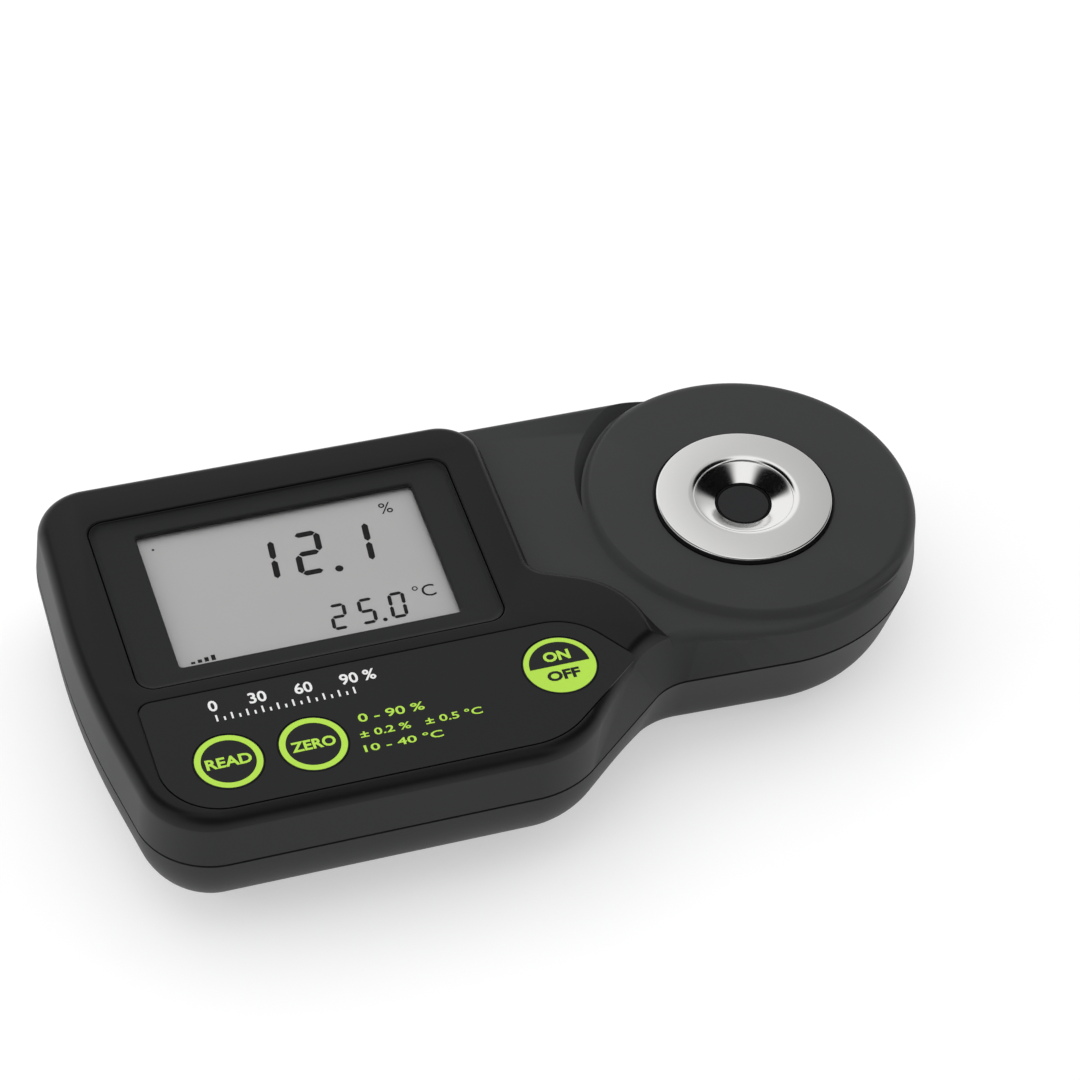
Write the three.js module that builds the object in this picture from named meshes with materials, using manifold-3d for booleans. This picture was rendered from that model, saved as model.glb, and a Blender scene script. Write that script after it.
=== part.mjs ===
// Hand-held bench refractometer with a digital display, in millimetres, +Z up.
// The origin is the centre of its footprint, on the surface that its four rubber feet stand on.
// +X runs from the display end to the round sample stage, and -Y faces the person who reads the display.
import * as THREE from "three";
import { mergeVertices, toCreasedNormals } from "three/addons/utils/BufferGeometryUtils.js";
import Module from "manifold-3d";

const wasm = await Module();
wasm.setup();

// Driving dimensions of the whole instrument
const caseLength = 192;
const caseWidth = 102;
const caseHeight = 36;
const upperCaseDepth = 13.6;
const footDrop = 1.2;
const wall = 2.2;
const roof = 2.4;
const seamGap = 0.6;
const clearance = 0.3;
const overrun = 1;

// Round parts of the plan follow the width, or the length where the case is short for its width
const squatShare = 0.53125;
const roundUnit = Math.min(caseLength * squatShare, caseWidth);

// Heights that follow from them
const topZ = caseHeight;
const baseZ = footDrop;
const seamZ = topZ - upperCaseDepth;
const upperRimZ = seamZ + seamGap / 2;
const lowerRimZ = seamZ - seamGap / 2;
const floorZ = baseZ + wall;
const leftX = -caseLength / 2;
const frontY = -caseWidth / 2;
const backY = caseWidth / 2;

// Number of facets on small, middling and large rounds
const smallRound = 10;
const middleRound = 24;
const largeRound = 48;
const cornerSteps = 3;
const halfTurn = Math.PI;
const degree = Math.PI / 180;

// A closed solid from a three.js geometry, and a geometry back from a solid
function solid(geometry) {
  const bare = geometry.index ? geometry.toNonIndexed() : geometry.clone();
  bare.deleteAttribute("normal");
  bare.deleteAttribute("uv");
  const merged = mergeVertices(bare, 1e-4);
  return new wasm.Manifold(
    new wasm.Mesh({
      numProp: 3,
      vertProperties: new Float32Array(merged.attributes.position.array),
      triVerts: new Uint32Array(merged.index.array),
    }),
  );
}

function geometryOf(body) {
  const mesh = body.getMesh();
  const geometry = new THREE.BufferGeometry();
  geometry.setAttribute("position", new THREE.BufferAttribute(new Float32Array(mesh.vertProperties), 3));
  geometry.setIndex(new THREE.BufferAttribute(new Uint32Array(mesh.triVerts), 1));
  return geometry;
}

function join(...bodies) {
  return bodies.reduce((whole, body) => whole.add(body));
}

function cut(body, ...tools) {
  return tools.reduce((left, tool) => left.subtract(tool), body);
}

// An upright prism of a plane outline between two heights
function prism(shape, lowZ, highZ, curveSegments = cornerSteps) {
  const geometry = new THREE.ExtrudeGeometry(shape, {
    depth: highZ - lowZ,
    bevelEnabled: false,
    curveSegments,
  });
  return solid(geometry.translate(0, 0, lowZ));
}

function roundedRectangle(centreX, centreY, width, depth, radius) {
  const shape = new THREE.Shape();
  const right = centreX + width / 2;
  const left = centreX - width / 2;
  const back = centreY + depth / 2;
  const front = centreY - depth / 2;
  shape.moveTo(left + radius, front);
  shape.absarc(right - radius, front + radius, radius, -halfTurn / 2, 0, false);
  shape.absarc(right - radius, back - radius, radius, 0, halfTurn / 2, false);
  shape.absarc(left + radius, back - radius, radius, halfTurn / 2, halfTurn, false);
  shape.absarc(left + radius, front + radius, radius, halfTurn, halfTurn * 1.5, false);
  return shape;
}

function block(centreX, centreY, width, depth, lowZ, highZ) {
  const geometry = new THREE.BoxGeometry(width, depth, highZ - lowZ);
  return solid(geometry.translate(centreX, centreY, (lowZ + highZ) / 2));
}

function pillar(x, y, radius, lowZ, highZ, rounds = middleRound) {
  const geometry = new THREE.CylinderGeometry(radius, radius, highZ - lowZ, rounds);
  return solid(geometry.rotateX(halfTurn / 2).translate(x, y, (lowZ + highZ) / 2));
}

// A body of revolution about an upright axis at x, y from [radius, height] pairs taken anticlockwise
function turned(x, y, profile, rounds = middleRound) {
  const points = profile.map(([radius, height]) => new THREE.Vector2(radius, height));
  const last = points[points.length - 1];
  if (!(points[0].x === 0 && last.x === 0)) {
    points.push(points[0].clone());
  }
  const geometry = new THREE.LatheGeometry(points, rounds);
  return solid(geometry.rotateX(halfTurn / 2).translate(x, y, 0));
}

function ring(x, y, outerRadius, innerRadius, lowZ, highZ, rounds = middleRound) {
  return turned(
    x,
    y,
    [
      [innerRadius, lowZ],
      [outerRadius, lowZ],
      [outerRadius, highZ],
      [innerRadius, highZ],
    ],
    rounds,
  );
}

// A solid stretched over outlines with the same number of points, from the lowest to the highest
function loft(levels) {
  const count = levels[0].points.length;
  const positions = [];
  const faces = [];
  for (const { z, points } of levels) {
    for (const point of points) {
      positions.push(point.x, point.y, z);
    }
  }
  for (let level = 0; level < levels.length - 1; level += 1) {
    for (let i = 0; i < count; i += 1) {
      const next = (i + 1) % count;
      const a = level * count + i;
      const b = level * count + next;
      faces.push(a, b, b + count, a, b + count, a + count);
    }
  }
  const lastStart = (levels.length - 1) * count;
  for (const [a, b, c] of THREE.ShapeUtils.triangulateShape(levels[0].points, [])) {
    faces.push(c, b, a);
  }
  for (const [a, b, c] of THREE.ShapeUtils.triangulateShape(levels.at(-1).points, [])) {
    faces.push(lastStart + a, lastStart + b, lastStart + c);
  }
  const geometry = new THREE.BufferGeometry();
  geometry.setAttribute("position", new THREE.Float32BufferAttribute(positions, 3));
  geometry.setIndex(faces);
  return solid(geometry);
}

// Outlines as belts: a belt runs anticlockwise round a chain of circles, outside the convex ones and
// inside the hollow ones (turn -1), joined by their common tangents.
function tangentAngle(from, to) {
  const gap = to.centre.clone().sub(from.centre);
  const difference = from.turn * from.radius - to.turn * to.radius;
  return Math.atan2(gap.y, gap.x) - Math.acos(difference / gap.length());
}

function arcPoints(circle, startAngle, endAngle) {
  const fullTurn = 2 * halfTurn;
  let sweep = (endAngle - startAngle) % fullTurn;
  if (circle.turn > 0 && sweep < 0) {
    sweep += fullTurn;
  }
  if (circle.turn < 0 && sweep > 0) {
    sweep -= fullTurn;
  }
  const points = [];
  for (let step = 0; step <= circle.steps; step += 1) {
    const angle = startAngle + (sweep * step) / circle.steps;
    const reach = circle.turn * circle.radius;
    const x = circle.centre.x + reach * Math.cos(angle);
    const y = circle.centre.y + reach * Math.sin(angle);
    points.push(new THREE.Vector2(x, y));
  }
  return points;
}

function beltPoints(circles) {
  const points = [];
  circles.forEach((circle, i) => {
    const before = circles.at(i - 1);
    const after = circles[(i + 1) % circles.length];
    points.push(...arcPoints(circle, tangentAngle(before, circle), tangentAngle(circle, after)));
  });
  return points;
}

function circleAt(x, y, radius, steps, turn = 1) {
  return { centre: new THREE.Vector2(x, y), radius, steps, turn };
}

// Plan of the housing at its widest level, the seam
const discRadius = roundUnit * 0.3794;
const discX = caseLength / 2 - discRadius;
const discSetIn = caseWidth * 0.0225;
const discY = backY - discRadius - discSetIn;
const backLeftRadius = caseWidth * 0.1225;
const backLeftSetIn = caseWidth * 0.0098;
const bowRadius = caseWidth * 1.9608;
const bowY = caseWidth * 0.0784;
const frontLeftRadius = caseWidth * 0.1618;
const frontLeftSetIn = caseWidth * 0.0441;
const frontRightRadius = roundUnit * 0.2157;
const frontRightFromLeft = caseLength * 0.4557;
const waistRadius = roundUnit * 0.1176;
const waistFromDiscX = roundUnit * 0.248;
const waistFromFront = caseWidth * 0.1098;
const smallestCorner = 2;
const innerFacetShare = 0.5;

function housingCircles() {
  return {
    disc: circleAt(discX, discY, discRadius, 24),
    backLeft: circleAt(
      leftX + backLeftSetIn + backLeftRadius,
      backY - backLeftRadius,
      backLeftRadius,
      9,
    ),
    bow: circleAt(leftX + bowRadius, bowY, bowRadius, 2),
    frontLeft: circleAt(
      leftX + frontLeftSetIn + frontLeftRadius,
      frontY + frontLeftRadius,
      frontLeftRadius,
      10,
    ),
    frontRight: circleAt(leftX + frontRightFromLeft, frontY + frontRightRadius, frontRightRadius, 6),
    waist: circleAt(discX - waistFromDiscX, frontY + waistFromFront, waistRadius, 8, -1),
  };
}

const seamChain = Object.values(housingCircles());

// The housing's outline drawn in by one amount at the display end, one round the disc and one at the waist.
// Hidden inner walls take a share of the facets.
function housingOutline(bodyInset, discInset = bodyInset, waistInset = bodyInset, facetShare = 1) {
  const circles = housingCircles();
  const chain = Object.values(circles);
  for (const [name, circle] of Object.entries(circles)) {
    circle.steps = Math.ceil(circle.steps * facetShare);
    if (name === "disc") {
      circle.radius -= discInset;
    } else if (name === "waist") {
      circle.radius += waistInset;
    } else {
      const spare = bodyInset + smallestCorner - circle.radius;
      if (spare > 0) {
        const i = chain.indexOf(circle);
        const before = tangentAngle(seamChain.at(i - 1), seamChain[i]);
        const after = tangentAngle(seamChain[i], seamChain[(i + 1) % seamChain.length]);
        const half = (((after - before) % (2 * halfTurn)) + 2 * halfTurn) % (2 * halfTurn) / 2;
        const reach = spare / Math.cos(half);
        circle.centre.x -= reach * Math.cos(before + half);
        circle.centre.y -= reach * Math.sin(before + half);
        circle.radius = smallestCorner;
      } else {
        circle.radius -= bodyInset;
      }
    }
  }
  return beltPoints(chain);
}

// Surface levels of the upper case: the raised display and key area, the lower neck and the round stage
const wallDraft = 0.6;
const edgeRollWidth = 2.7;
const edgeRollHeight = 4;
const neckDrop = 3.5;
const neckRoll = 1.8;
const waistScoop = 4;
const deckDrop = 1.5;
const deckRoll = 2.8;
const neckZ = topZ - neckDrop;
const deckZ = topZ - deckDrop;
const rollSteps = 3;
const blendZ = neckZ - neckRoll - overrun * 2;

// Height and inset of an edge that rolls over from a wall to a flat top, as a quarter ellipse
function rolledEdge(highZ, height, width) {
  const levels = [];
  for (let step = 0; step <= rollSteps; step += 1) {
    const angle = (halfTurn / 2) * (step / rollSteps);
    levels.push({
      z: highZ - height + height * Math.sin(angle),
      inset: width - width * Math.cos(angle),
    });
  }
  return levels;
}

function draftAt(z) {
  return (wallDraft * (z - upperRimZ)) / (topZ - edgeRollHeight - upperRimZ);
}

// How far the waist leans in, from nothing at the seam to its full scoop at the neck
function scoopAt(z) {
  return waistScoop * Math.min(1, (z - upperRimZ) / (neckZ - upperRimZ));
}

// Plan of the raised area where it meets the neck: its right edge, back corner, hollow corner and tip
const plateauLength = caseLength * 0.5349;
const plateauRightX = leftX + plateauLength;
const plateauBackRadius = roundUnit * 0.1029;
const tipRadius = roundUnit * 0.2049;
const tipSetIn = 0.7;
const tipCentreX = plateauRightX - tipSetIn;
const tipFromFront = caseWidth * 0.298;
const tipCentreY = frontY + tipFromFront;
const hollowCornerRadius = 3.5;
const hollowCornerStep = 0.6;
const noseRadius = roundUnit * 0.0784;
const noseReach = roundUnit * 0.1225;
const facetRadius = 3;
const facetReach = roundUnit * 0.199;

// Centre of a circle at a given x that touches the straight wall between two circles from inside
function touching(x, radius, from, to) {
  const angle = tangentAngle(from, to);
  const offset = from.centre.x * Math.cos(angle) + from.centre.y * Math.sin(angle) + from.turn * from.radius;
  const y = (offset - radius - x * Math.cos(angle)) / Math.sin(angle);
  return new THREE.Vector2(x, y);
}

// share is 0 at the foot of the bank towards the neck and 1 at the top
function plateauOutline(inset, share) {
  const { disc, backLeft, frontRight, waist } = housingCircles();
  const reach = facetReach + (noseReach - facetReach) * share;
  const cornerRadius = facetRadius + (noseRadius - facetRadius) * share;
  const noseCentre = touching(plateauRightX + reach, cornerRadius, frontRight, waist);
  const backCentre = touching(plateauRightX - plateauBackRadius, plateauBackRadius, disc, backLeft);
  const hollowY = tipCentreY + tipRadius + hollowCornerRadius + hollowCornerStep;
  const nose = circleAt(noseCentre.x, noseCentre.y, cornerRadius - inset, 5);
  const tip = circleAt(tipCentreX, tipCentreY, tipRadius - inset, 10);
  const hollow = circleAt(
    plateauRightX + hollowCornerRadius,
    hollowY,
    hollowCornerRadius + inset,
    5,
    -1,
  );
  const back = circleAt(backCentre.x, backCentre.y, plateauBackRadius - inset, 7);
  const wallAngle = tangentAngle(frontRight, waist);
  const backAngle = tangentAngle(disc, backLeft);
  const outside = plateauBackRadius;
  const noseStart = arcPoints({ ...nose, steps: 1 }, wallAngle, wallAngle)[0];
  const backEnd = arcPoints({ ...back, steps: 1 }, backAngle, backAngle)[0];
  const beyondX = noseStart.x + outside * Math.cos(wallAngle);
  return [
    new THREE.Vector2(beyondX, noseStart.y + outside * Math.sin(wallAngle)),
    ...arcPoints(nose, wallAngle, tangentAngle(nose, tip)),
    ...arcPoints(tip, tangentAngle(nose, tip), tangentAngle(tip, hollow)),
    ...arcPoints(hollow, tangentAngle(tip, hollow), 0),
    ...arcPoints(back, 0, backAngle),
    new THREE.Vector2(backEnd.x - outside, backEnd.y + outside),
    new THREE.Vector2(leftX - outside, backY + outside),
    new THREE.Vector2(leftX - outside, frontY - outside),
    new THREE.Vector2(beyondX, frontY - outside),
  ];
}

// A prism of a belt outline
function slab(points, lowZ, highZ) {
  return loft([
    { z: lowZ, points },
    { z: highZ, points },
  ]);
}

// The stage's left edge is a second turned form, set to the right, whose steep side drops to the neck
const stepRadius = roundUnit * 0.3882;
const stepShift = roundUnit * 0.0471;
const stepAngle = 15 * degree;
const stepRollWidth = 1.1;
const stepRollHeight = 2.1;
const stepX = discX + stepShift * Math.cos(stepAngle);
const stepY = discY + stepShift * Math.sin(stepAngle);

// A trough runs round the back and left of the stage: a shallow pan sunk into the neck and tilted
const panRadius = roundUnit * 0.3647;
const panShift = roundUnit * 0.0686;
const panTiltAngle = 120 * degree;
const panTilt = 3.4 * degree;
const panDepth = 0.7;
const panBankWidth = 6;
const panBankHeight = 3.6;
const panBankSteps = 5;
const panBankShare = 1.1;

function stagePan(grow) {
  const lowest = -panDepth - grow;
  const profile = [new THREE.Vector2(0, lowest)];
  for (let step = 0; step <= panBankSteps; step += 1) {
    const share = step / panBankSteps;
    const reach = panRadius - panBankWidth + panBankWidth * panBankShare * share + grow;
    const rise = (panBankHeight * (1 - Math.cos(halfTurn * share))) / 2;
    profile.push(new THREE.Vector2(reach, lowest + rise));
  }
  const brim = profile.at(-1);
  profile.push(new THREE.Vector2(brim.x, brim.y + panBankHeight + grow));
  profile.push(new THREE.Vector2(0, brim.y + panBankHeight + grow));
  const geometry = new THREE.LatheGeometry(profile, largeRound);
  const tiltAxis = new THREE.Vector3(Math.sin(panTiltAngle), -Math.cos(panTiltAngle), 0);
  geometry.rotateX(halfTurn / 2);
  geometry.applyMatrix4(new THREE.Matrix4().makeRotationAxis(tiltAxis, -panTilt));
  return solid(geometry.translate(discX, discY + panShift, neckZ));
}

// The display: a bezel sunk into the raised area, with a window and the liquid crystal panel under it
const displayFromLeft = caseLength * 0.275;
const displayFromBack = caseWidth * 0.3657;
const displayX = leftX + displayFromLeft;
const displayY = backY - displayFromBack;
const recessRadius = 4;
const recessDepth = 1.2;
const borderLeft = 10.15;
const borderRight = 8.95;
const borderFront = 5.65;
const borderBack = 5.25;
const viewWidth = caseLength * 0.3224;
const viewHeight = caseWidth * 0.3863;
const viewRadius = 0.8;
const recessWidth = viewWidth + borderLeft + borderRight;
const recessHeight = viewHeight + borderFront + borderBack;
const recessX = displayX + (borderRight - borderLeft) / 2;
const recessY = displayY + (borderBack - borderFront) / 2;
const bezelThickness = 1.2;
const bezelChamfer = 0.7;
const windowThickness = 0.7;
const windowBorder = 1.6;
const panelThickness = 2.8;
const panelBorder = 2.1;
const ledgeThickness = 1.8;
const ledgeBorder = 1.4;
const bezelTopZ = topZ - recessDepth;
const bezelBottomZ = bezelTopZ - bezelThickness;
const windowBottomZ = bezelBottomZ - windowThickness;
const panelBottomZ = windowBottomZ - panelThickness;
const panelWidth = viewWidth + 2 * panelBorder;
const panelHeight = viewHeight + 2 * panelBorder;

// The keypad: a thin label sheet let into the raised area, with three round keys in it
const overlayThickness = 0.5;
const overlayEdge = 3.8;
const overlayLeft = caseLength * 0.0531;
const overlayBack = caseWidth * 0.351;
const overlayFrontLeftRadius = roundUnit * 0.1275;
const overlayBackLeftRadius = 3;
const overlayShoulderRadius = roundUnit * 0.1333;
const overlayShoulderFromLeft = caseLength * 0.513;
const overlayPointRadius = 1.5;
const overlayPointFromLeft = caseLength * 0.5911;
const keyRowFromFront = caseWidth * 0.1559;
const readFromLeft = caseLength * 0.1297;
const zeroFromLeft = caseLength * 0.224;
const onOffFromLeft = caseLength * 0.5156;
const onOffFromFront = caseWidth * 0.2299;
const keyRadius = roundUnit * 0.0735;
const onOffRadius = roundUnit * 0.0794;
const keyFlangeWidth = 1;
const keyFlangeThickness = 0.6;
const keyTravel = 0.5;
const keyStemRadius = 2.5;
const keySeatWall = 1.6;
const keys = [
  { name: "read", x: leftX + readFromLeft, y: frontY + keyRowFromFront, radius: keyRadius },
  { name: "zero", x: leftX + zeroFromLeft, y: frontY + keyRowFromFront, radius: keyRadius },
  { name: "on_off", x: leftX + onOffFromLeft, y: frontY + onOffFromFront, radius: onOffRadius },
];
const overlayBottomZ = topZ - overlayThickness;
const keyFlangeBottomZ = overlayBottomZ - keyFlangeThickness;
const keySeatZ = keyFlangeBottomZ - keyTravel - clearance / 2;

function overlayOutline(inset) {
  const { frontRight, waist } = housingCircles();
  const shoulder = circleAt(
    leftX + overlayShoulderFromLeft,
    frontY + overlayBack - overlayShoulderRadius,
    overlayShoulderRadius - inset,
    10,
  );
  const pointX = leftX + overlayPointFromLeft;
  const pointCentre = touching(pointX, overlayPointRadius + overlayEdge, frontRight, waist);
  const left = leftX + overlayLeft;
  return beltPoints([
    circleAt(pointCentre.x, pointCentre.y, overlayPointRadius - inset, 4),
    shoulder,
    circleAt(
      left + overlayBackLeftRadius,
      frontY + overlayBack - overlayBackLeftRadius,
      overlayBackLeftRadius - inset,
      5,
    ),
    circleAt(
      left + overlayFrontLeftRadius,
      frontY + overlayEdge + overlayFrontLeftRadius,
      overlayFrontLeftRadius - inset,
      8,
    ),
    circleAt(
      frontRight.centre.x,
      frontRight.centre.y,
      frontRight.radius - overlayEdge - inset,
      6,
    ),
  ]);
}

// The circuit board, its key switches and the screws that hold it to the upper case
const boardDrop = 8.5;
const boardThickness = 1.6;
const boardTopZ = topZ - boardDrop;
const boardBottomZ = boardTopZ - boardThickness;
const boardFromLeft = caseLength * 0.0469;
const boardLength = caseLength * 0.5156;
const boardWidth = caseWidth * 0.8333;
const boardFromFront = caseWidth * 0.0784;
const boardCorner = 8;
const boardCutLength = caseLength * 0.0885;
const boardCutWidth = caseWidth * 0.1275;
const switchSize = 6;
const switchHeight = 3.2;
const plungerRadius = 1.7;
const plungerSink = 1.4;
const plungerRise = 1.2;
const plungerTopZ = boardTopZ + switchHeight + plungerRise;
const boardScrewRadius = 1;
const boardScrewHeadRadius = 2;
const boardScrewHeadHeight = 1;
const boardScrewLength = 6;
const boardBossRadius = 3;

// Places from the back left corner, as shares of the case's length and width
function casePlace([along, across]) {
  return [leftX + along * caseLength, backY - across * caseWidth];
}

// Places from the stage's centre, as shares of its radius
function stagePlace([along, across]) {
  return [discX + along * discRadius, discY + across * discRadius];
}

const boardScrewShares = [
  [0.065, 0.147],
  [0.065, 0.52],
  [0.495, 0.147],
  [0.354, 0.8725],
];
const boardScrewPlaces = boardScrewShares.map(casePlace);

// The sample well: a steel flange with a conical bowl over the prism
const flangeRadius = 19.4;
const flangeThickness = 1;
const wellGasketThickness = 0.5;
const wellGasketReach = 0.4;
const wellGasketSink = 0.4;
const wellGasketInner = 16;
const barrelRadius = 14.5;
const barrelDepth = 7.1;
const flangeEdge = 0.3;
const bowlRimRadius = 12.4;
const bowlRimRise = 0.3;
const bowlLipRadius = 10.8;
const bowlLipDrop = 0.7;
const bowlDepth = 2.5;
const bowlThroatRadius = 6.3;
const throatLength = 1.5;
const barrelBoreRadius = 10;
const wellGasketBottomZ = deckZ - wellGasketSink;
const flangeBottomZ = wellGasketBottomZ + wellGasketThickness;
const flangeTopZ = flangeBottomZ + flangeThickness;
const barrelBottomZ = flangeBottomZ - barrelDepth;
const bowlRimZ = flangeTopZ + bowlRimRise;
const throatTopZ = flangeTopZ - bowlDepth;
const throatBottomZ = throatTopZ - throatLength;

// Case screws, their brass inserts and the feet
const screwRadius = 1.3;
const screwHeadRadius = 2.8;
const screwHeadHeight = 2.2;
const screwSeatZ = 9;
const insertRadius = 2.3;
const insertBore = screwRadius + clearance;
const insertLength = 4.3;
const insertSpare = 1;
const screwLength = upperRimZ + insertLength - insertSpare - screwSeatZ;
const upperBossRadius = 4.2;
const lowerBossRadius = 4.7;
const bodyScrewShares = [
  [0.065, 0.304],
  [0.0755, 0.7157],
];
const stageScrewShares = [
  [-0.628, -0.465],
  [-0.344, 0.5685],
];
const caseScrewPlaces = [
  ...bodyScrewShares.map((shares) => [...casePlace(shares), topZ - roof / 2]),
  ...stageScrewShares.map((shares) => [...stagePlace(shares), deckZ - roof / 2]),
];
const footRadius = 4.5;
const footHeight = 1.8;
const bodyFootShares = [
  [0.151, 0.1814],
  [0.151, 0.8186],
];
const stageFootShares = [
  [0.225, -0.517],
  [0.38, 0.4134],
];
const footPlaces = [...bodyFootShares.map(casePlace), ...stageFootShares.map(stagePlace)];

// The battery and its round twist-lock cover in the base
const batteryFromLeft = caseLength * 0.2708;
const batteryX = leftX + batteryFromLeft;
const batteryY = 0;
const batteryBodyLength = 46.4;
const batteryWidth = 26.5;
const batteryThickness = 17.5;
const batteryCorner = 2;
const terminalHeight = 2.1;
const terminalRadius = 2.9;
const terminalSpacing = 12.7;
const snapLength = 5.5;
const snapWidth = 24;
const snapHeight = 15;
const coverRadius = roundUnit * 0.3157;
const coverThickness = 2;
const coverSealThickness = 0.5;
const coverSealInner = roundUnit * 0.2941;
const coverSealOuter = roundUnit * 0.3118;
const coverNeckRadius = roundUnit * 0.2843;
const coverNeckWall = 1.6;
const rimThickness = 1.4;
const lugHeight = 1.4;
const lugReach = 2.4;
const lugHalfAngle = 10 * degree;
const lugCount = 3;
const lugStart = 90 * degree;
const unlockAngle = 30 * degree;
const trayPlate = 1.5;
const trayWall = 1.5;
const trayWallHeight = 10;
const coverTopZ = baseZ + coverThickness;
const rimBottomZ = coverTopZ + coverSealThickness;
const rimTopZ = rimBottomZ + rimThickness;
const lugBottomZ = rimTopZ + clearance;
const lugTopZ = lugBottomZ + lugHeight;
const trayZ = lugTopZ + clearance;
const batteryBottomZ = trayZ;
const batteryTopZ = batteryBottomZ + batteryThickness;
const openingGap = 0.4;
const chamberWall = 2.6;
const notchShare = 1.15;
const openingRadius = coverNeckRadius + openingGap;
const chamberRadius = coverNeckRadius + lugReach + clearance;
const trayRadius = chamberRadius + chamberWall;
const trayLength = batteryBodyLength + snapLength + 2 * clearance;
const trayWidth = batteryWidth + 2 * clearance;
const snapShare = 0.5;
const batteryShiftX = -snapLength * snapShare;

// The optical block under the well, with its lamp on the left and its sensor on the right
const opticLength = roundUnit * 0.3725;
const opticWidth = roundUnit * 0.2941;
const opticBottomGap = 2;
const opticBottomZ = floorZ + opticBottomGap;
const opticTopZ = barrelBottomZ;
const opticLeftX = discX - opticLength / 2;
const opticRightX = discX + opticLength / 2;
const prismTopGap = 0.2;
const prismTopZ = throatTopZ - prismTopGap;
const prismNeckRadius = 5.6;
const prismSealInner = 5.75;
const prismSealOuter = 6.15;
const prismLength = 15;
const prismFoot = 8;
const prismWidth = 11;
const prismHeight = 6;
const prismBodyTopZ = throatBottomZ - clearance;
const prismBodyBottomZ = prismBodyTopZ - prismHeight;
const opticPocketLength = 17;
const opticPocketWidth = 13;
const opticPocketFloor = 12;
const channelRise = 11.6;
const channelZ = opticBottomZ + channelRise;
const lampChannelRadius = 4.6;
const lampRadius = 2.5;
const lampLength = 5.4;
const lampDome = lampRadius * 0.6;
const lampShoulder = lampRadius * 0.8;
const lampShoulderDrop = lampDome * 0.4;
const lensRadius = 4.2;
const lensEdge = 0.8;
const lensBulge = 0.7;
const lensBendRadius = lensRadius * 0.6;
const lensBendRise = lensBulge * 0.3;
const lampBoardThickness = 1.2;
const lampBoardWidth = 16;
const lampBoardHeight = 14;
const sensorLength = 16;
const sensorHeight = 6.5;
const sensorThickness = 2.6;
const sensorWindowLength = 12;
const sensorWindowHeight = 4;
const sensorBoardWidth = roundUnit * 0.2353;
const sensorBoardHeight = 14;
const probeRadius = 1.2;
const probeLength = 6.2;
const probeFromCentre = 12.2;
const probeSink = 3.2;
const probeTopZ = barrelBottomZ + probeSink;

// Upper case: one moulding with a raised display and key area, a lower neck and a round stage
const bankTopShare = 0.3;

function plateauBody() {
  const bankTop = topZ - neckDrop * bankTopShare;
  const levels = [
    { z: upperRimZ, inset: 0, share: 0 },
    { z: neckZ, inset: wallDraft, share: 0 },
  ];
  const low = { z: topZ - edgeRollHeight, inset: wallDraft, share: 0 };
  for (const { z, inset } of rolledEdge(topZ, edgeRollHeight, edgeRollWidth)) {
    const share = THREE.MathUtils.clamp((z - neckZ) / (bankTop - neckZ), 0, 1);
    levels.push({ z, inset: wallDraft + inset, share });
  }
  levels.sort((a, b) => a.z - b.z);
  const kept = levels.filter((level) => level.z !== low.z);
  return loft(kept.map(({ z, inset, share }) => ({ z, points: plateauOutline(inset, share) })));
}

function housingBody() {
  const levels = [{ z: upperRimZ, points: housingOutline(0) }];
  for (const { z, inset } of rolledEdge(topZ, edgeRollHeight, edgeRollWidth)) {
    const drawn = wallDraft + inset;
    levels.push({ z, points: housingOutline(drawn, drawn, drawn + scoopAt(z)) });
  }
  return loft(levels);
}

function neckBody() {
  const outset = -clearance;
  const levels = [{ z: blendZ, points: housingOutline(outset, outset, outset) }];
  for (const { z, inset } of rolledEdge(neckZ, neckRoll, neckRoll)) {
    const drawn = draftAt(z) + inset;
    levels.push({ z, points: housingOutline(drawn, drawn, drawn + scoopAt(z)) });
  }
  return cut(loft(levels), stagePan(0));
}

function stageBody() {
  const profile = [
    [0, blendZ],
    [discRadius + clearance, blendZ],
  ];
  for (const { z, inset } of rolledEdge(deckZ, deckRoll, deckRoll)) {
    profile.push([discRadius - draftAt(z) - inset, z]);
  }
  profile.push([0, deckZ]);
  const step = [
    [0, blendZ - overrun],
    [stepRadius, blendZ - overrun],
  ];
  for (const { z, inset } of rolledEdge(deckZ, stepRollHeight, stepRollWidth)) {
    step.push([stepRadius - inset, z]);
  }
  step.push([stepRadius - stepRollWidth, deckZ + overrun]);
  step.push([0, deckZ + overrun]);
  return turned(discX, discY, profile, largeRound).intersect(turned(stepX, stepY, step, largeRound));
}

function upperCaseCavity() {
  const waistWall = wall + waistScoop + neckRoll;
  const under = housingOutline(wall, wall + neckRoll, waistWall, innerFacetShare);
  const rim = housingOutline(wall, wall, wall, innerFacetShare);
  const mouth = slab(rim, upperRimZ - overrun, upperRimZ + overrun);
  const neckHollow = cut(slab(under, upperRimZ, neckZ - roof), stagePan(roof));
  const raised = wall + wallDraft + edgeRollWidth / 2;
  const raisedWall = housingOutline(raised, raised, raised, innerFacetShare);
  const underPlateau = slab(raisedWall, upperRimZ, topZ - roof).intersect(
    slab(plateauOutline(raised, 1), upperRimZ, topZ - roof),
  );
  const stageRadius = stepRadius - stepShift - stepRollWidth - wall;
  const underStage = pillar(discX, discY, stageRadius, upperRimZ, deckZ - roof);
  return join(mouth, neckHollow, underPlateau, underStage);
}

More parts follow.
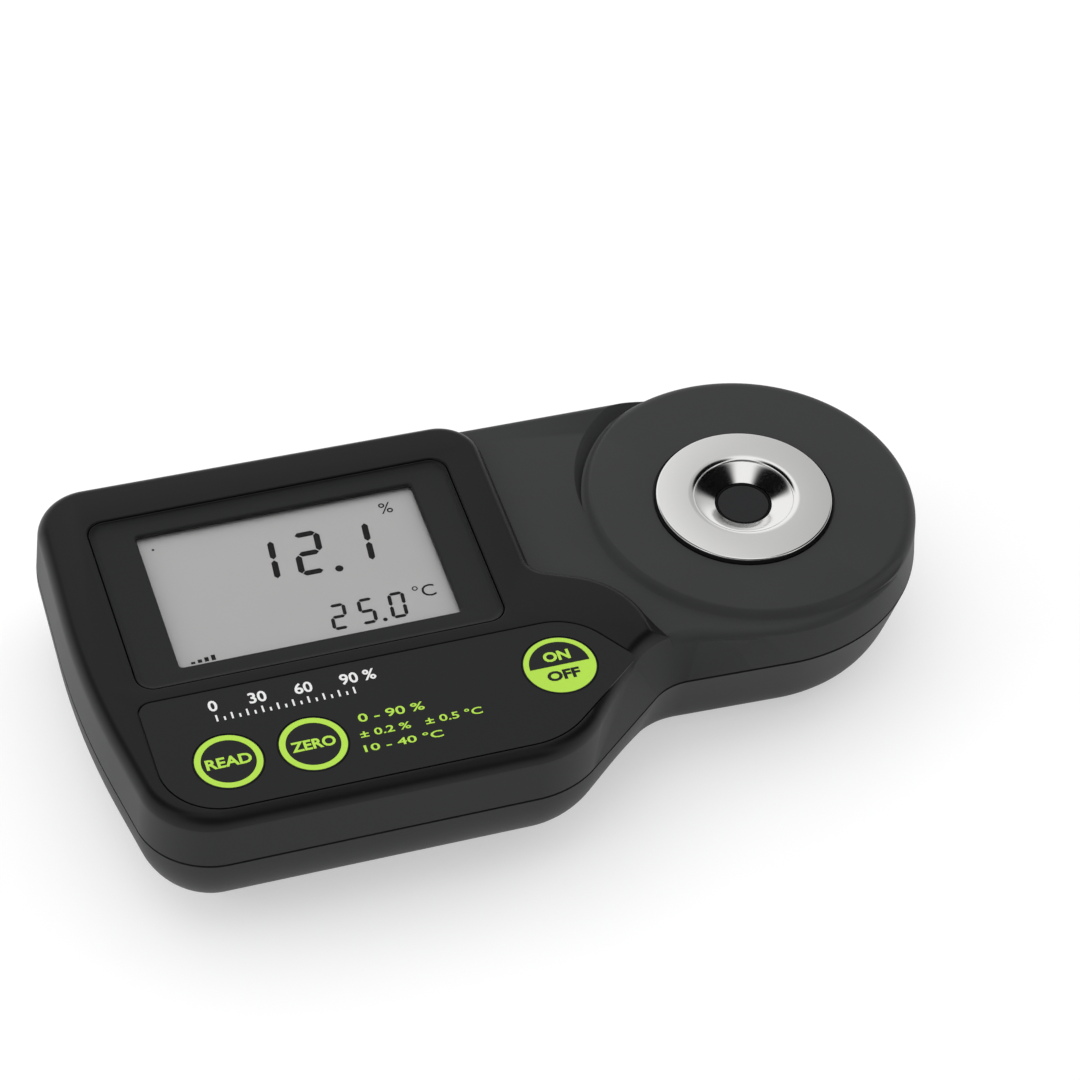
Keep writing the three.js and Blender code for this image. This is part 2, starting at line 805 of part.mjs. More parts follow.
function upperCase() {
  const outer = housingBody().intersect(
    join(
      slab(housingOutline(-overrun), upperRimZ - overrun, blendZ + overrun / 2),
      plateauBody(),
      neckBody(),
      stageBody(),
    ),
  );
  const ledgeBottomZ = bezelBottomZ - ledgeThickness;
  const posts = [
    prism(
      roundedRectangle(
        recessX,
        recessY,
        recessWidth + 2 * ledgeBorder,
        recessHeight + 2 * ledgeBorder,
        recessRadius,
      ),
      ledgeBottomZ,
      topZ - roof / 2,
    ),
    pillar(
      discX,
      discY,
      barrelRadius + clearance + wall,
      barrelBottomZ + overrun,
      deckZ - roof / 2,
      largeRound,
    ),
  ];
  for (const { x, y, radius } of keys) {
    const seatRadius = radius + keyFlangeWidth + clearance + keySeatWall;
    posts.push(pillar(x, y, seatRadius, keySeatZ - keySeatWall, topZ - roof / 2));
  }
  for (const [x, y, bossTopZ] of caseScrewPlaces) {
    posts.push(pillar(x, y, upperBossRadius, upperRimZ, bossTopZ, smallRound));
  }
  for (const [x, y] of boardScrewPlaces) {
    posts.push(pillar(x, y, boardBossRadius, boardTopZ, topZ - roof / 2, smallRound));
  }
  const body = join(cut(outer, upperCaseCavity()), ...posts.map((post) => post.intersect(outer)));
  const holes = [
    prism(
      roundedRectangle(recessX, recessY, recessWidth, recessHeight, recessRadius),
      bezelBottomZ,
      topZ + overrun,
    ),
    prism(
      roundedRectangle(
        displayX,
        displayY,
        panelWidth + 2 * clearance,
        panelHeight + 2 * clearance,
        viewRadius,
      ),
      ledgeBottomZ - overrun,
      topZ,
    ),
    slab(overlayOutline(-clearance), overlayBottomZ, topZ + overrun),
    pillar(discX, discY, flangeRadius + 2 * wellGasketReach, wellGasketBottomZ, topZ, largeRound),
    pillar(discX, discY, barrelRadius + clearance, upperRimZ, topZ, largeRound),
  ];
  for (const { x, y, radius } of keys) {
    holes.push(pillar(x, y, radius + keyFlangeWidth + clearance, keySeatZ, topZ));
    holes.push(pillar(x, y, keyStemRadius + clearance, keySeatZ - 2 * keySeatWall, topZ, smallRound));
  }
  for (const [x, y] of caseScrewPlaces) {
    const insertHole = insertRadius + clearance;
    const insertTopZ = upperRimZ + insertLength;
    holes.push(pillar(x, y, insertHole, upperRimZ - overrun, insertTopZ + clearance, smallRound));
  }
  for (const [x, y] of boardScrewPlaces) {
    const holeTopZ = boardBottomZ + boardScrewLength + clearance;
    holes.push(pillar(x, y, boardScrewRadius + clearance, boardTopZ - overrun, holeTopZ, smallRound));
  }
  return cut(body, ...holes);
}

// Lower case: a hull that tapers in below the seam, with the battery chamber, screw posts and foot recesses
const hullTaper = caseWidth * 0.1275;
const stageTaper = roundUnit * 0.1078;
const hullDepthShares = [0, 0.29, 0.48, 0.64, 0.78, 0.9, 1];
const hullBulge = 2.5;
const stageBulge = 8;

function hullLevels(inwards, lowZ) {
  const depth = lowerRimZ - baseZ;
  const levels = hullDepthShares.map((share) => ({
    z: lowerRimZ - depth * share,
    body: hullTaper * share ** hullBulge + inwards,
    stage: (stageTaper * (share + share ** stageBulge)) / 2 + inwards,
  }));
  const kept = levels.filter((level) => level.z > lowZ + wall / 4);
  const above = kept.at(-1);
  const below = levels[kept.length] ?? above;
  const share = below === above ? 0 : (above.z - lowZ) / (above.z - below.z);
  kept.push({
    z: lowZ,
    body: THREE.MathUtils.lerp(above.body, below.body, share),
    stage: THREE.MathUtils.lerp(above.stage, below.stage, share),
  });
  return kept.reverse();
}

function hullBody() {
  return loft(
    hullLevels(0, baseZ).map(({ z, body, stage }) => ({ z, points: housingOutline(body, stage, stage) })),
  );
}

function hullCavity() {
  const levels = hullLevels(wall, floorZ);
  const rim = levels.at(-1);
  const outlines = [...levels, { ...rim, z: rim.z + overrun }].map(({ z, body, stage }) => ({
    z,
    points: housingOutline(body, stage, stage, innerFacetShare),
  }));
  return loft(outlines);
}

function sector(radius, angle, halfAngle, lowZ, highZ) {
  const shape = new THREE.Shape();
  shape.moveTo(0, 0);
  shape.lineTo(radius * Math.cos(angle - halfAngle), radius * Math.sin(angle - halfAngle));
  shape.absarc(0, 0, radius, angle - halfAngle, angle + halfAngle, false);
  return prism(shape, lowZ, highZ, 2).translate([batteryX, batteryY, 0]);
}

function lugAngles() {
  return Array.from({ length: lugCount }, (_, i) => lugStart + (2 * halfTurn * i) / lugCount);
}

function lowerCase() {
  const outer = hullBody();
  const posts = [
    pillar(batteryX, batteryY, trayRadius, baseZ + wall / 2, trayZ + trayPlate, largeRound),
    block(
      batteryX,
      batteryY,
      trayLength + 2 * trayWall,
      trayWidth + 2 * trayWall,
      trayZ,
      trayZ + trayWallHeight,
    ),
  ];
  for (const [x, y] of caseScrewPlaces) {
    posts.push(pillar(x, y, lowerBossRadius, baseZ + wall / 2, lowerRimZ, smallRound));
  }
  for (const sideX of [opticLeftX + wall * 2, opticRightX - wall * 2]) {
    posts.push(block(sideX, discY, wall * 2, opticWidth, baseZ + wall / 2, opticBottomZ));
  }
  const body = join(cut(outer, hullCavity()), ...posts.map((post) => post.intersect(outer)));
  const coverHole = coverRadius + clearance;
  const holes = [
    pillar(batteryX, batteryY, coverHole, baseZ - overrun, rimBottomZ, largeRound),
    pillar(batteryX, batteryY, openingRadius, baseZ, lugBottomZ, largeRound),
    pillar(batteryX, batteryY, chamberRadius, rimTopZ, trayZ, largeRound),
    block(
      batteryX,
      batteryY,
      trayLength,
      trayWidth,
      rimTopZ,
      trayZ + trayWallHeight + overrun,
    ),
  ];
  for (const angle of lugAngles()) {
    const notchHalfAngle = lugHalfAngle * notchShare;
    const lowZ = rimBottomZ - overrun;
    holes.push(sector(chamberRadius, angle - unlockAngle, notchHalfAngle, lowZ, rimTopZ + overrun));
  }
  for (const [x, y] of caseScrewPlaces) {
    holes.push(pillar(x, y, screwHeadRadius + clearance, baseZ - overrun, screwSeatZ, smallRound));
    holes.push(pillar(x, y, screwRadius + clearance, baseZ, lowerRimZ + overrun, smallRound));
  }
  for (const [x, y] of footPlaces) {
    holes.push(pillar(x, y, footRadius + clearance, baseZ - overrun, footHeight, smallRound * 2));
  }
  return cut(body, ...holes);
}

function caseGasket() {
  const outer = slab(housingOutline(seamGap), lowerRimZ, upperRimZ);
  const inset = wall - clearance / 2;
  const inner = housingOutline(inset, inset, inset, innerFacetShare);
  return cut(outer, slab(inner, lowerRimZ - overrun, upperRimZ + overrun));
}

// Display pieces
function displayBezel() {
  const width = recessWidth - 2 * clearance;
  const height = recessHeight - 2 * clearance;
  const plate = prism(
    roundedRectangle(recessX, recessY, width, height, recessRadius - clearance),
    bezelBottomZ,
    bezelTopZ,
  );
  const chamferWidth = viewWidth + 2 * bezelChamfer;
  const chamferHeight = viewHeight + 2 * bezelChamfer;
  const taper = loft([
    {
      z: bezelTopZ - bezelChamfer,
      points: rectanglePoints(displayX, displayY, viewWidth, viewHeight),
    },
    {
      z: bezelTopZ + clearance,
      points: rectanglePoints(
        displayX,
        displayY,
        chamferWidth + 2 * clearance,
        chamferHeight + 2 * clearance,
      ),
    },
  ]);
  const view = block(displayX, displayY, viewWidth, viewHeight, bezelBottomZ - overrun, bezelTopZ + overrun);
  return cut(plate, view, taper);
}

function rectanglePoints(centreX, centreY, width, height) {
  return [
    new THREE.Vector2(centreX - width / 2, centreY - height / 2),
    new THREE.Vector2(centreX + width / 2, centreY - height / 2),
    new THREE.Vector2(centreX + width / 2, centreY + height / 2),
    new THREE.Vector2(centreX - width / 2, centreY + height / 2),
  ];
}

function displayWindow() {
  const width = viewWidth + 2 * windowBorder;
  const height = viewHeight + 2 * windowBorder;
  const outline = roundedRectangle(displayX, displayY, width, height, viewRadius);
  return prism(outline, windowBottomZ, bezelBottomZ);
}

// Two bonded glass plates: the lower one is longer at the front and back, where the contacts are
function lcdPanel() {
  const middleZ = panelBottomZ + panelThickness / 2;
  const lower = block(displayX, displayY, panelWidth, panelHeight, panelBottomZ, middleZ);
  const upper = block(displayX, displayY, panelWidth, panelHeight - panelBorder, middleZ, windowBottomZ);
  return join(lower, upper);
}

const stripLength = 54;
const stripWidth = 2.4;
const stripInset = 1.6;
const frameBorder = 1.8;
const lightBoxBorder = 6;

function stripY(side) {
  return displayY + side * (panelHeight / 2 - stripInset - stripWidth / 2);
}

function lcdFrame() {
  const width = panelWidth + 2 * frameBorder;
  const height = panelHeight + 2 * frameBorder;
  const outline = roundedRectangle(displayX, displayY, width, height, frameBorder);
  const tray = prism(outline, boardTopZ, panelBottomZ);
  const lightBox = block(
    displayX,
    displayY,
    panelWidth - 2 * lightBoxBorder,
    panelHeight - 2 * lightBoxBorder,
    boardTopZ - overrun,
    panelBottomZ + overrun,
  );
  const slots = [-1, 1].map((side) =>
    block(
      displayX,
      stripY(side),
      stripLength + 2 * clearance,
      stripWidth + 2 * clearance,
      boardTopZ - overrun,
      panelBottomZ + overrun,
    ),
  );
  return cut(tray, lightBox, ...slots);
}

function contactStrip(side) {
  return block(displayX, stripY(side), stripLength, stripWidth, boardTopZ, panelBottomZ);
}

// Keypad pieces
function keypadOverlay() {
  const holes = keys.map(({ x, y, radius }) =>
    pillar(x, y, radius + clearance, overlayBottomZ - overrun, topZ + overrun),
  );
  return cut(slab(overlayOutline(0), overlayBottomZ, topZ), ...holes);
}

function keyCap({ x, y, radius }) {
  return turned(x, y, [
    [0, plungerTopZ],
    [keyStemRadius, plungerTopZ],
    [keyStemRadius, keyFlangeBottomZ],
    [radius + keyFlangeWidth, keyFlangeBottomZ],
    [radius + keyFlangeWidth, overlayBottomZ],
    [radius, overlayBottomZ],
    [radius, topZ],
    [0, topZ],
  ]);
}

function keySwitch({ x, y }) {
  const body = block(x, y, switchSize, switchSize, boardTopZ, boardTopZ + switchHeight);
  const wellFloorZ = boardTopZ + switchHeight - plungerSink - keyTravel - clearance;
  return cut(
    body,
    pillar(x, y, plungerRadius + clearance, wellFloorZ, boardTopZ + switchHeight + overrun, smallRound),
  );
}

function switchPlunger({ x, y }) {
  return pillar(x, y, plungerRadius, boardTopZ + switchHeight - plungerSink, plungerTopZ, smallRound);
}

// Circuit board and what it carries
const boardX = leftX + boardFromLeft + boardLength / 2;
const boardY = frontY + boardFromFront + boardWidth / 2;

function mainBoard() {
  const board = prism(
    roundedRectangle(boardX, boardY, boardLength, boardWidth, boardCorner),
    boardBottomZ,
    boardTopZ,
  );
  const corner = new THREE.Shape([
    new THREE.Vector2(boardX + boardLength / 2 - boardCutLength, boardY - boardWidth / 2 - overrun),
    new THREE.Vector2(boardX + boardLength / 2 + overrun, boardY - boardWidth / 2 - overrun),
    new THREE.Vector2(boardX + boardLength / 2 + overrun, boardY - boardWidth / 2 + boardCutWidth),
  ]);
  const holes = [prism(corner, boardBottomZ - overrun, boardTopZ + overrun)];
  for (const [x, y] of boardScrewPlaces) {
    holes.push(
      pillar(x, y, boardScrewRadius + clearance, boardBottomZ - overrun, boardTopZ + overrun, smallRound),
    );
  }
  for (const [x, y] of caseScrewPlaces) {
    const notch = upperBossRadius + clearance;
    holes.push(pillar(x, y, notch, boardBottomZ - overrun, boardTopZ + overrun, smallRound * 2));
  }
  return cut(board, ...holes);
}

function boardScrew([x, y]) {
  const headTopZ = boardBottomZ;
  return turned(
    x,
    y,
    [
      [0, headTopZ - boardScrewHeadHeight],
      [boardScrewHeadRadius, headTopZ - boardScrewHeadHeight],
      [boardScrewHeadRadius, headTopZ],
      [boardScrewRadius, headTopZ],
      [boardScrewRadius, headTopZ + boardScrewLength],
      [0, headTopZ + boardScrewLength],
    ],
    smallRound,
  );
}

const chipSize = 12;
const chipHeight = 1.6;
const chipFromLeft = caseLength * 0.4792;
const chipGap = 1;
const socketLength = 4.5;
const socketWidth = 12;
const socketHeight = 2.4;
const ribbonWidth = 10;
const ribbonThickness = 0.5;
const ribbonSag = 3;
const ribbonSteps = 10;
const ribbonSocketX = boardX + boardLength / 2 - socketLength / 2 - overrun;
const batterySocketLength = 5;
const batterySocketWidth = 8;
const batterySocketHeight = 4;
const batterySocketFromEdge = 15.75;
const batterySocketX = boardX + boardLength / 2 - batterySocketFromEdge;

function microcontroller() {
  const x = leftX + chipFromLeft;
  const y = batteryY - batterySocketWidth / 2 - chipGap - chipSize / 2;
  return block(x, y, chipSize, chipSize, boardBottomZ - chipHeight, boardBottomZ);
}

function ribbonSocket() {
  return block(
    ribbonSocketX,
    discY,
    socketLength,
    socketWidth,
    boardBottomZ - socketHeight,
    boardBottomZ,
  );
}

// The flat ribbon from the board's socket down to the lamp board on the optical block
function sensorRibbon() {
  const startX = ribbonSocketX + socketLength / 2;
  const startZ = boardBottomZ - socketHeight / 2;
  const endX = opticLeftX - lampBoardThickness;
  const endZ = channelZ + lampBoardHeight / 4;
  const route = new THREE.CubicBezierCurve(
    new THREE.Vector2(startX, startZ),
    new THREE.Vector2((startX + endX) / 2 + ribbonSag, startZ),
    new THREE.Vector2((startX + endX) / 2 - ribbonSag, endZ),
    new THREE.Vector2(endX, endZ),
  );
  const upper = [];
  const lower = [];
  for (let i = 0; i <= ribbonSteps; i += 1) {
    const along = i / ribbonSteps;
    const point = route.getPoint(along);
    const across = route.getTangent(along).rotateAround(new THREE.Vector2(), halfTurn / 2);
    upper.push(point.clone().addScaledVector(across, ribbonThickness / 2));
    lower.push(point.clone().addScaledVector(across, -ribbonThickness / 2));
  }
  const shape = new THREE.Shape([...lower, ...upper.reverse()]);
  const geometry = new THREE.ExtrudeGeometry(shape, { depth: ribbonWidth, bevelEnabled: false });
  return solid(geometry.rotateX(halfTurn / 2).translate(0, discY + ribbonWidth / 2, 0));
}

function batterySocket() {
  return block(
    batterySocketX,
    batteryY,
    batterySocketLength,
    batterySocketWidth,
    boardBottomZ - batterySocketHeight,
    boardBottomZ,
  );
}

// Sample well and optics
function sampleWell() {
  return turned(
    discX,
    discY,
    [
      [barrelBoreRadius, barrelBottomZ],
      [barrelRadius, barrelBottomZ],
      [barrelRadius, flangeBottomZ],
      [flangeRadius, flangeBottomZ],
      [flangeRadius, flangeTopZ - flangeEdge],
      [flangeRadius - flangeEdge, flangeTopZ],
      [bowlRimRadius, bowlRimZ],
      [(bowlRimRadius + bowlLipRadius) / 2, bowlRimZ - bowlLipDrop / 4],
      [bowlLipRadius, bowlRimZ - bowlLipDrop],
      [bowlThroatRadius, throatTopZ],
      [bowlThroatRadius, throatBottomZ],
      [barrelBoreRadius, throatBottomZ],
    ],
    largeRound,
  );
}

function drilledWell() {
  const x = discX + probeFromCentre;
  const radius = probeRadius + clearance;
  const hole = pillar(x, discY, radius, barrelBottomZ - overrun, probeTopZ + clearance, smallRound);
  return cut(sampleWell(), hole);
}

function wellGasket() {
  const outerRadius = flangeRadius + wellGasketReach;
  return ring(discX, discY, outerRadius, wellGasketInner, wellGasketBottomZ, flangeBottomZ, largeRound);
}

function prismBlock() {
  const neck = pillar(discX, discY, prismNeckRadius, prismBodyTopZ - overrun, prismTopZ);
  const sides = new THREE.Shape([
    new THREE.Vector2(-prismFoot / 2, prismBodyBottomZ),
    new THREE.Vector2(prismFoot / 2, prismBodyBottomZ),
    new THREE.Vector2(prismLength / 2, prismBodyTopZ),
    new THREE.Vector2(-prismLength / 2, prismBodyTopZ),
  ]);
  const geometry = new THREE.ExtrudeGeometry(sides, { depth: prismWidth, bevelEnabled: false });
  const body = solid(geometry.rotateX(halfTurn / 2).translate(discX, discY + prismWidth / 2, 0));
  return join(neck, body);
}

function prismSeal() {
  const sealTopZ = prismTopZ + clearance / 3;
  return ring(discX, discY, prismSealOuter, prismSealInner, throatBottomZ, sealTopZ);
}

// A round bore along X from one side of the optical block into its pocket
function sideBore(fromX, toX, radius, rounds = smallRound * 2) {
  const geometry = new THREE.CylinderGeometry(radius, radius, toX - fromX, rounds);
  return solid(geometry.rotateZ(halfTurn / 2).translate((fromX + toX) / 2, discY, channelZ));
}

function opticalBlock() {
  const body = block(discX, discY, opticLength, opticWidth, opticBottomZ, opticTopZ);
  const pocket = block(
    discX,
    discY,
    opticPocketLength,
    opticPocketWidth,
    opticBottomZ + opticPocketFloor - lampChannelRadius,
    opticTopZ + overrun,
  );
  const probeHole = pillar(
    discX + probeFromCentre,
    discY,
    probeRadius + clearance,
    probeTopZ - probeLength - clearance,
    opticTopZ + overrun,
    smallRound,
  );
  const sensorWindow = block(
    (discX + opticRightX) / 2,
    discY,
    opticRightX - discX + overrun * 2,
    sensorWindowLength,
    channelZ - sensorWindowHeight / 2,
    channelZ + sensorWindowHeight / 2,
  );
  const sensorSeat = block(
    opticRightX - sensorThickness / 2 + overrun / 2,
    discY,
    sensorThickness + overrun,
    sensorLength + 2 * clearance,
    channelZ - sensorHeight / 2 - clearance,
    channelZ + sensorHeight / 2 + clearance,
  );
  const lampBore = sideBore(opticLeftX - overrun, discX, lampChannelRadius);
  return cut(body, pocket, probeHole, sensorWindow, sensorSeat, lampBore);
}

function lampBoard() {
  return block(
    opticLeftX - lampBoardThickness / 2,
    discY,
    lampBoardThickness,
    lampBoardWidth,
    channelZ - lampBoardHeight / 2,
    channelZ + lampBoardHeight / 2,
  );
}

function turnedAlongX(startX, profile, rounds = smallRound) {
  const points = profile.map(([radius, along]) => new THREE.Vector2(radius, along));
  const geometry = new THREE.LatheGeometry(points, rounds);
  return solid(geometry.rotateZ(-halfTurn / 2).translate(startX, discY, channelZ));
}

// A lamp with a domed tip, standing on its board and shining along +X
function lamp() {
  return turnedAlongX(opticLeftX, [
    [0, 0],
    [lampRadius, 0],
    [lampRadius, lampLength - lampDome],
    [lampShoulder, lampLength - lampShoulderDrop],
    [0, lampLength],
  ]);
}

function collimatingLens() {
  const startX = opticLeftX + lampLength + overrun;
  return turnedAlongX(startX, [
    [0, 0],
    [lensBendRadius, lensBendRise],
    [lensRadius, lensBulge],
    [lensRadius, lensBulge + lensEdge],
    [lensBendRadius, lensBulge * 2 + lensEdge - lensBendRise],
    [0, lensBulge * 2 + lensEdge],
  ]);
}

function imageSensor() {
  return block(
    opticRightX - sensorThickness / 2,
    discY,
    sensorThickness,
    sensorLength,
    channelZ - sensorHeight / 2,
    channelZ + sensorHeight / 2,
  );
}

function sensorBoard() {
  return block(
    opticRightX + lampBoardThickness / 2,
    discY,
    lampBoardThickness,
    sensorBoardWidth,
    channelZ - sensorBoardHeight / 2,
    channelZ + sensorBoardHeight / 2,
  );
}

function temperatureProbe() {
  return pillar(
    discX + probeFromCentre,
    discY,
    probeRadius,
    probeTopZ - probeLength,
    probeTopZ,
    smallRound,
  );
}

// Battery, snap and leads
const batteryCornerSegments = 3;

function battery() {
  const x = batteryX + batteryShiftX;
  const middleZ = (batteryBottomZ + batteryTopZ) / 2;
  const outline = roundedRectangle(0, middleZ, batteryWidth, batteryThickness, batteryCorner);
  const geometry = new THREE.ExtrudeGeometry(outline, {
    depth: batteryBodyLength,
    bevelEnabled: false,
    curveSegments: batteryCornerSegments,
  });
  geometry.rotateX(halfTurn / 2).rotateZ(halfTurn / 2);
  const can = solid(geometry.translate(x - batteryBodyLength / 2, batteryY, 0));
  const endX = x + batteryBodyLength / 2;
  const studs = [-1, 1].map((side) => {
    const stud = new THREE.CylinderGeometry(
      terminalRadius,
      terminalRadius,
      terminalHeight + overrun,
      smallRound,
    );
    const studX = endX + (terminalHeight - overrun) / 2;
    const studY = batteryY + (side * terminalSpacing) / 2;
    return solid(stud.rotateZ(halfTurn / 2).translate(studX, studY, middleZ));
  });
  return join(can, ...studs);
}

function batterySnap() {
  const startX = batteryX + batteryShiftX + batteryBodyLength / 2 + clearance / 3;
  const middleZ = (batteryBottomZ + batteryTopZ) / 2;
  const geometry = new THREE.BoxGeometry(snapLength - clearance, snapWidth, snapHeight);
  const body = solid(geometry.translate(startX + (snapLength - clearance) / 2, batteryY, middleZ));
  const sockets = [-1, 1].map((side) => {
    const bore = new THREE.CylinderGeometry(
      terminalRadius + clearance,
      terminalRadius + clearance,
      terminalHeight + overrun,
      smallRound,
    );
    const boreX = startX + (terminalHeight - overrun) / 2 + clearance;
    const boreY = batteryY + (side * terminalSpacing) / 2;
    return solid(bore.rotateZ(halfTurn / 2).translate(boreX, boreY, middleZ));
  });
  return cut(body, ...sockets);
}

const leadRadius = 0.7;
const leadSpacing = 3.4;
const leadSegments = 4;
const leadSteps = 8;

function batteryLead(side) {
  const snapEndX = batteryX + batteryShiftX + batteryBodyLength / 2 + snapLength;
  const startZ = (batteryBottomZ + batteryTopZ) / 2 + snapHeight / 4;
  const y = batteryY + (side * leadSpacing) / 2;
  const endX = batterySocketX;
  const endZ = boardBottomZ - batterySocketHeight - clearance / 3;
  const bend = (endX - snapEndX) / 2;
  const leadDrop = leadSpacing * 2;
  const route = new THREE.CubicBezierCurve3(
    new THREE.Vector3(snapEndX, y, startZ),
    new THREE.Vector3(snapEndX + bend, y, startZ),
    new THREE.Vector3(endX, y, endZ - leadDrop),
    new THREE.Vector3(endX, y, endZ),
  );
  const section = new THREE.Shape().absarc(0, 0, leadRadius, 0, 2 * halfTurn, false);
  const geometry = new THREE.ExtrudeGeometry(section, {
    steps: leadSteps,
    curveSegments: leadSegments,
    bevelEnabled: false,
    extrudePath: route,
  });
  return solid(geometry);
}

function batteryFoam() {
  const radius = batteryWidth / 2 - batteryCorner;
  return pillar(batteryX, batteryY, radius, coverTopZ, batteryBottomZ - clearance, middleRound);
}

// Twist-lock cover: a disc with a short neck and three lugs that turn behind the rim of the opening
const gripLength = coverRadius * 1.056;
const gripWidth = 5;
const gripGap = 10;
const gripDepth = 1;
const gripRounding = 0.49;
const coverEdge = 0.4;

function batteryCover() {
  const plate = turned(
    batteryX,
    batteryY,
    [
      [0, baseZ],
      [coverRadius - coverEdge, baseZ],
      [coverRadius, baseZ + coverEdge],
      [coverRadius, coverTopZ],
      [0, coverTopZ],
    ],
    largeRound,
  );
  const neck = ring(
    batteryX,
    batteryY,
    coverNeckRadius,
    coverNeckRadius - coverNeckWall,
    coverTopZ - overrun / 2,
    lugTopZ,
    largeRound,
  );
  const lugs = lugAngles().map((angle) => {
    const wedge = sector(coverNeckRadius + lugReach, angle, lugHalfAngle, lugBottomZ, lugTopZ);
    const inner = coverNeckRadius - coverNeckWall / 2;
    const core = pillar(batteryX, batteryY, inner, lugBottomZ - overrun, lugTopZ + overrun, largeRound);
    return cut(wedge, core);
  });
  const grips = [-1, 1].map((side) => {
    const gripY = (side * (gripGap + gripWidth)) / 2;
    const grip = roundedRectangle(0, gripY, gripLength, gripWidth, gripWidth * gripRounding);
    return prism(grip, baseZ - overrun, baseZ + gripDepth).translate([batteryX, batteryY, 0]);
  });
  return cut(join(plate, neck, ...lugs), ...grips);
}

function batteryCoverSeal() {
  return ring(batteryX, batteryY, coverSealOuter, coverSealInner, coverTopZ, rimBottomZ);
}

// Fasteners and feet
function caseScrew([x, y]) {
  return turned(
    x,
    y,
    [
      [0, screwSeatZ - screwHeadHeight],
      [screwHeadRadius, screwSeatZ - screwHeadHeight],
      [screwHeadRadius, screwSeatZ],
      [screwRadius, screwSeatZ],
      [screwRadius, screwSeatZ + screwLength],
      [0, screwSeatZ + screwLength],
    ],
    smallRound,
  );
}

function threadedInsert([x, y]) {
  return ring(x, y, insertRadius, insertBore, upperRimZ, upperRimZ + insertLength, smallRound);
}

function rubberFoot([x, y]) {
  return pillar(x, y, footRadius, 0, footHeight, smallRound * 2);
}

// Materials
function material(color, roughness, metalness = 0, extra = {}) {
  return new THREE.MeshStandardMaterial({ color, roughness, metalness, ...extra });
}

const darkPlastic = material(0x2b2c2c, 0.55);
const bezelPlastic = material(0x313332, 0.5);
const labelFilm = material(0x232423, 0.4);
const keyFilm = material(0xb6e03c, 0.4);
const clearPlastic = material(0xe8eeee, 0.1, 0, { transparent: true, opacity: 0.35 });
const displayGlass = material(0xaeb0ad, 0.3);
const whitePlastic = material(0xdedede, 0.6);
const blackRubber = material(0x141414, 0.85);
const boardLaminate = material(0x1f5b36, 0.5);
const blackResin = material(0x1a1a1a, 0.5);
const steel = material(0xc6c7c8, 0.25, 1);
const brass = material(0xb8933f, 0.35, 1);
const opticGlass = material(0x8fa0a8, 0.05, 0, { transparent: true, opacity: 0.5 });
const batteryJacket = material(0x6f7275, 0.4, 0.6);
const foam = material(0x55585a, 0.95);
const redInsulation = material(0xb02020, 0.5);
const whiteInsulation = material(0xe4e2da, 0.5);

const group = new THREE.Group();

function add(name, body, finish) {
  const geometry = toCreasedNormals(geometryOf(body), 30 * degree);
  const mesh = new THREE.Mesh(geometry, finish);
  mesh.name = name;
  group.add(mesh);
}

add("upper_case", upperCase(), darkPlastic);
add("lower_case", lowerCase(), darkPlastic);
add("case_gasket", caseGasket(), blackRubber);
add("display_bezel", displayBezel(), bezelPlastic);
add("display_window", displayWindow(), clearPlastic);
add("lcd_panel", lcdPanel(), displayGlass);
add("lcd_frame", lcdFrame(), whitePlastic);
add("contact_strip_front", contactStrip(-1), blackRubber);
add("contact_strip_back", contactStrip(1), blackRubber);
add("keypad_overlay", keypadOverlay(), labelFilm);
for (const key of keys) {
  add(`key_${key.name}`, keyCap(key), keyFilm);
  add(`switch_${key.name}`, keySwitch(key), blackResin);
  add(`plunger_${key.name}`, switchPlunger(key), blackResin);
}
add("main_board", mainBoard(), boardLaminate);
boardScrewPlaces.forEach((place, i) => add(`board_screw_${i + 1}`, boardScrew(place), steel));
add("microcontroller", microcontroller(), blackResin);
add("ribbon_socket", ribbonSocket(), whitePlastic);
add("battery_socket", batterySocket(), whitePlastic);
add("sample_well", drilledWell(), steel);
add("well_gasket", wellGasket(), blackRubber);
add("prism", prismBlock(), opticGlass);
add("prism_seal", prismSeal(), blackRubber);
add("optical_block", opticalBlock(), blackResin);
add("lamp", lamp(), clearPlastic);
add("lamp_board", lampBoard(), boardLaminate);
add("collimating_lens", collimatingLens(), opticGlass);
add("image_sensor", imageSensor(), blackResin);
add("sensor_board", sensorBoard(), boardLaminate);
add("temperature_probe", temperatureProbe(), steel);
add("sensor_ribbon", sensorRibbon(), whiteInsulation);
add("battery", battery(), batteryJacket);
add("battery_snap", batterySnap(), blackRubber);
add("battery_lead_positive", batteryLead(1), redInsulation);
add("battery_lead_negative", batteryLead(-1), blackRubber);
add("battery_foam", batteryFoam(), foam);
add("battery_cover", batteryCover(), darkPlastic);
add("battery_cover_seal", batteryCoverSeal(), blackRubber);
caseScrewPlaces.forEach((place, i) => {
  add(`case_screw_${i + 1}`, caseScrew(place), steel);
  add(`threaded_insert_${i + 1}`, threadedInsert(place), brass);
});
footPlaces.forEach((place, i) => add(`foot_${i + 1}`, rubberFoot(place), blackRubber));

export default group;
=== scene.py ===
# A hand-held bench refractometer: its visible surfaces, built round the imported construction, in metres.
import math

import bmesh
import bpy
from mathutils import Matrix, Vector


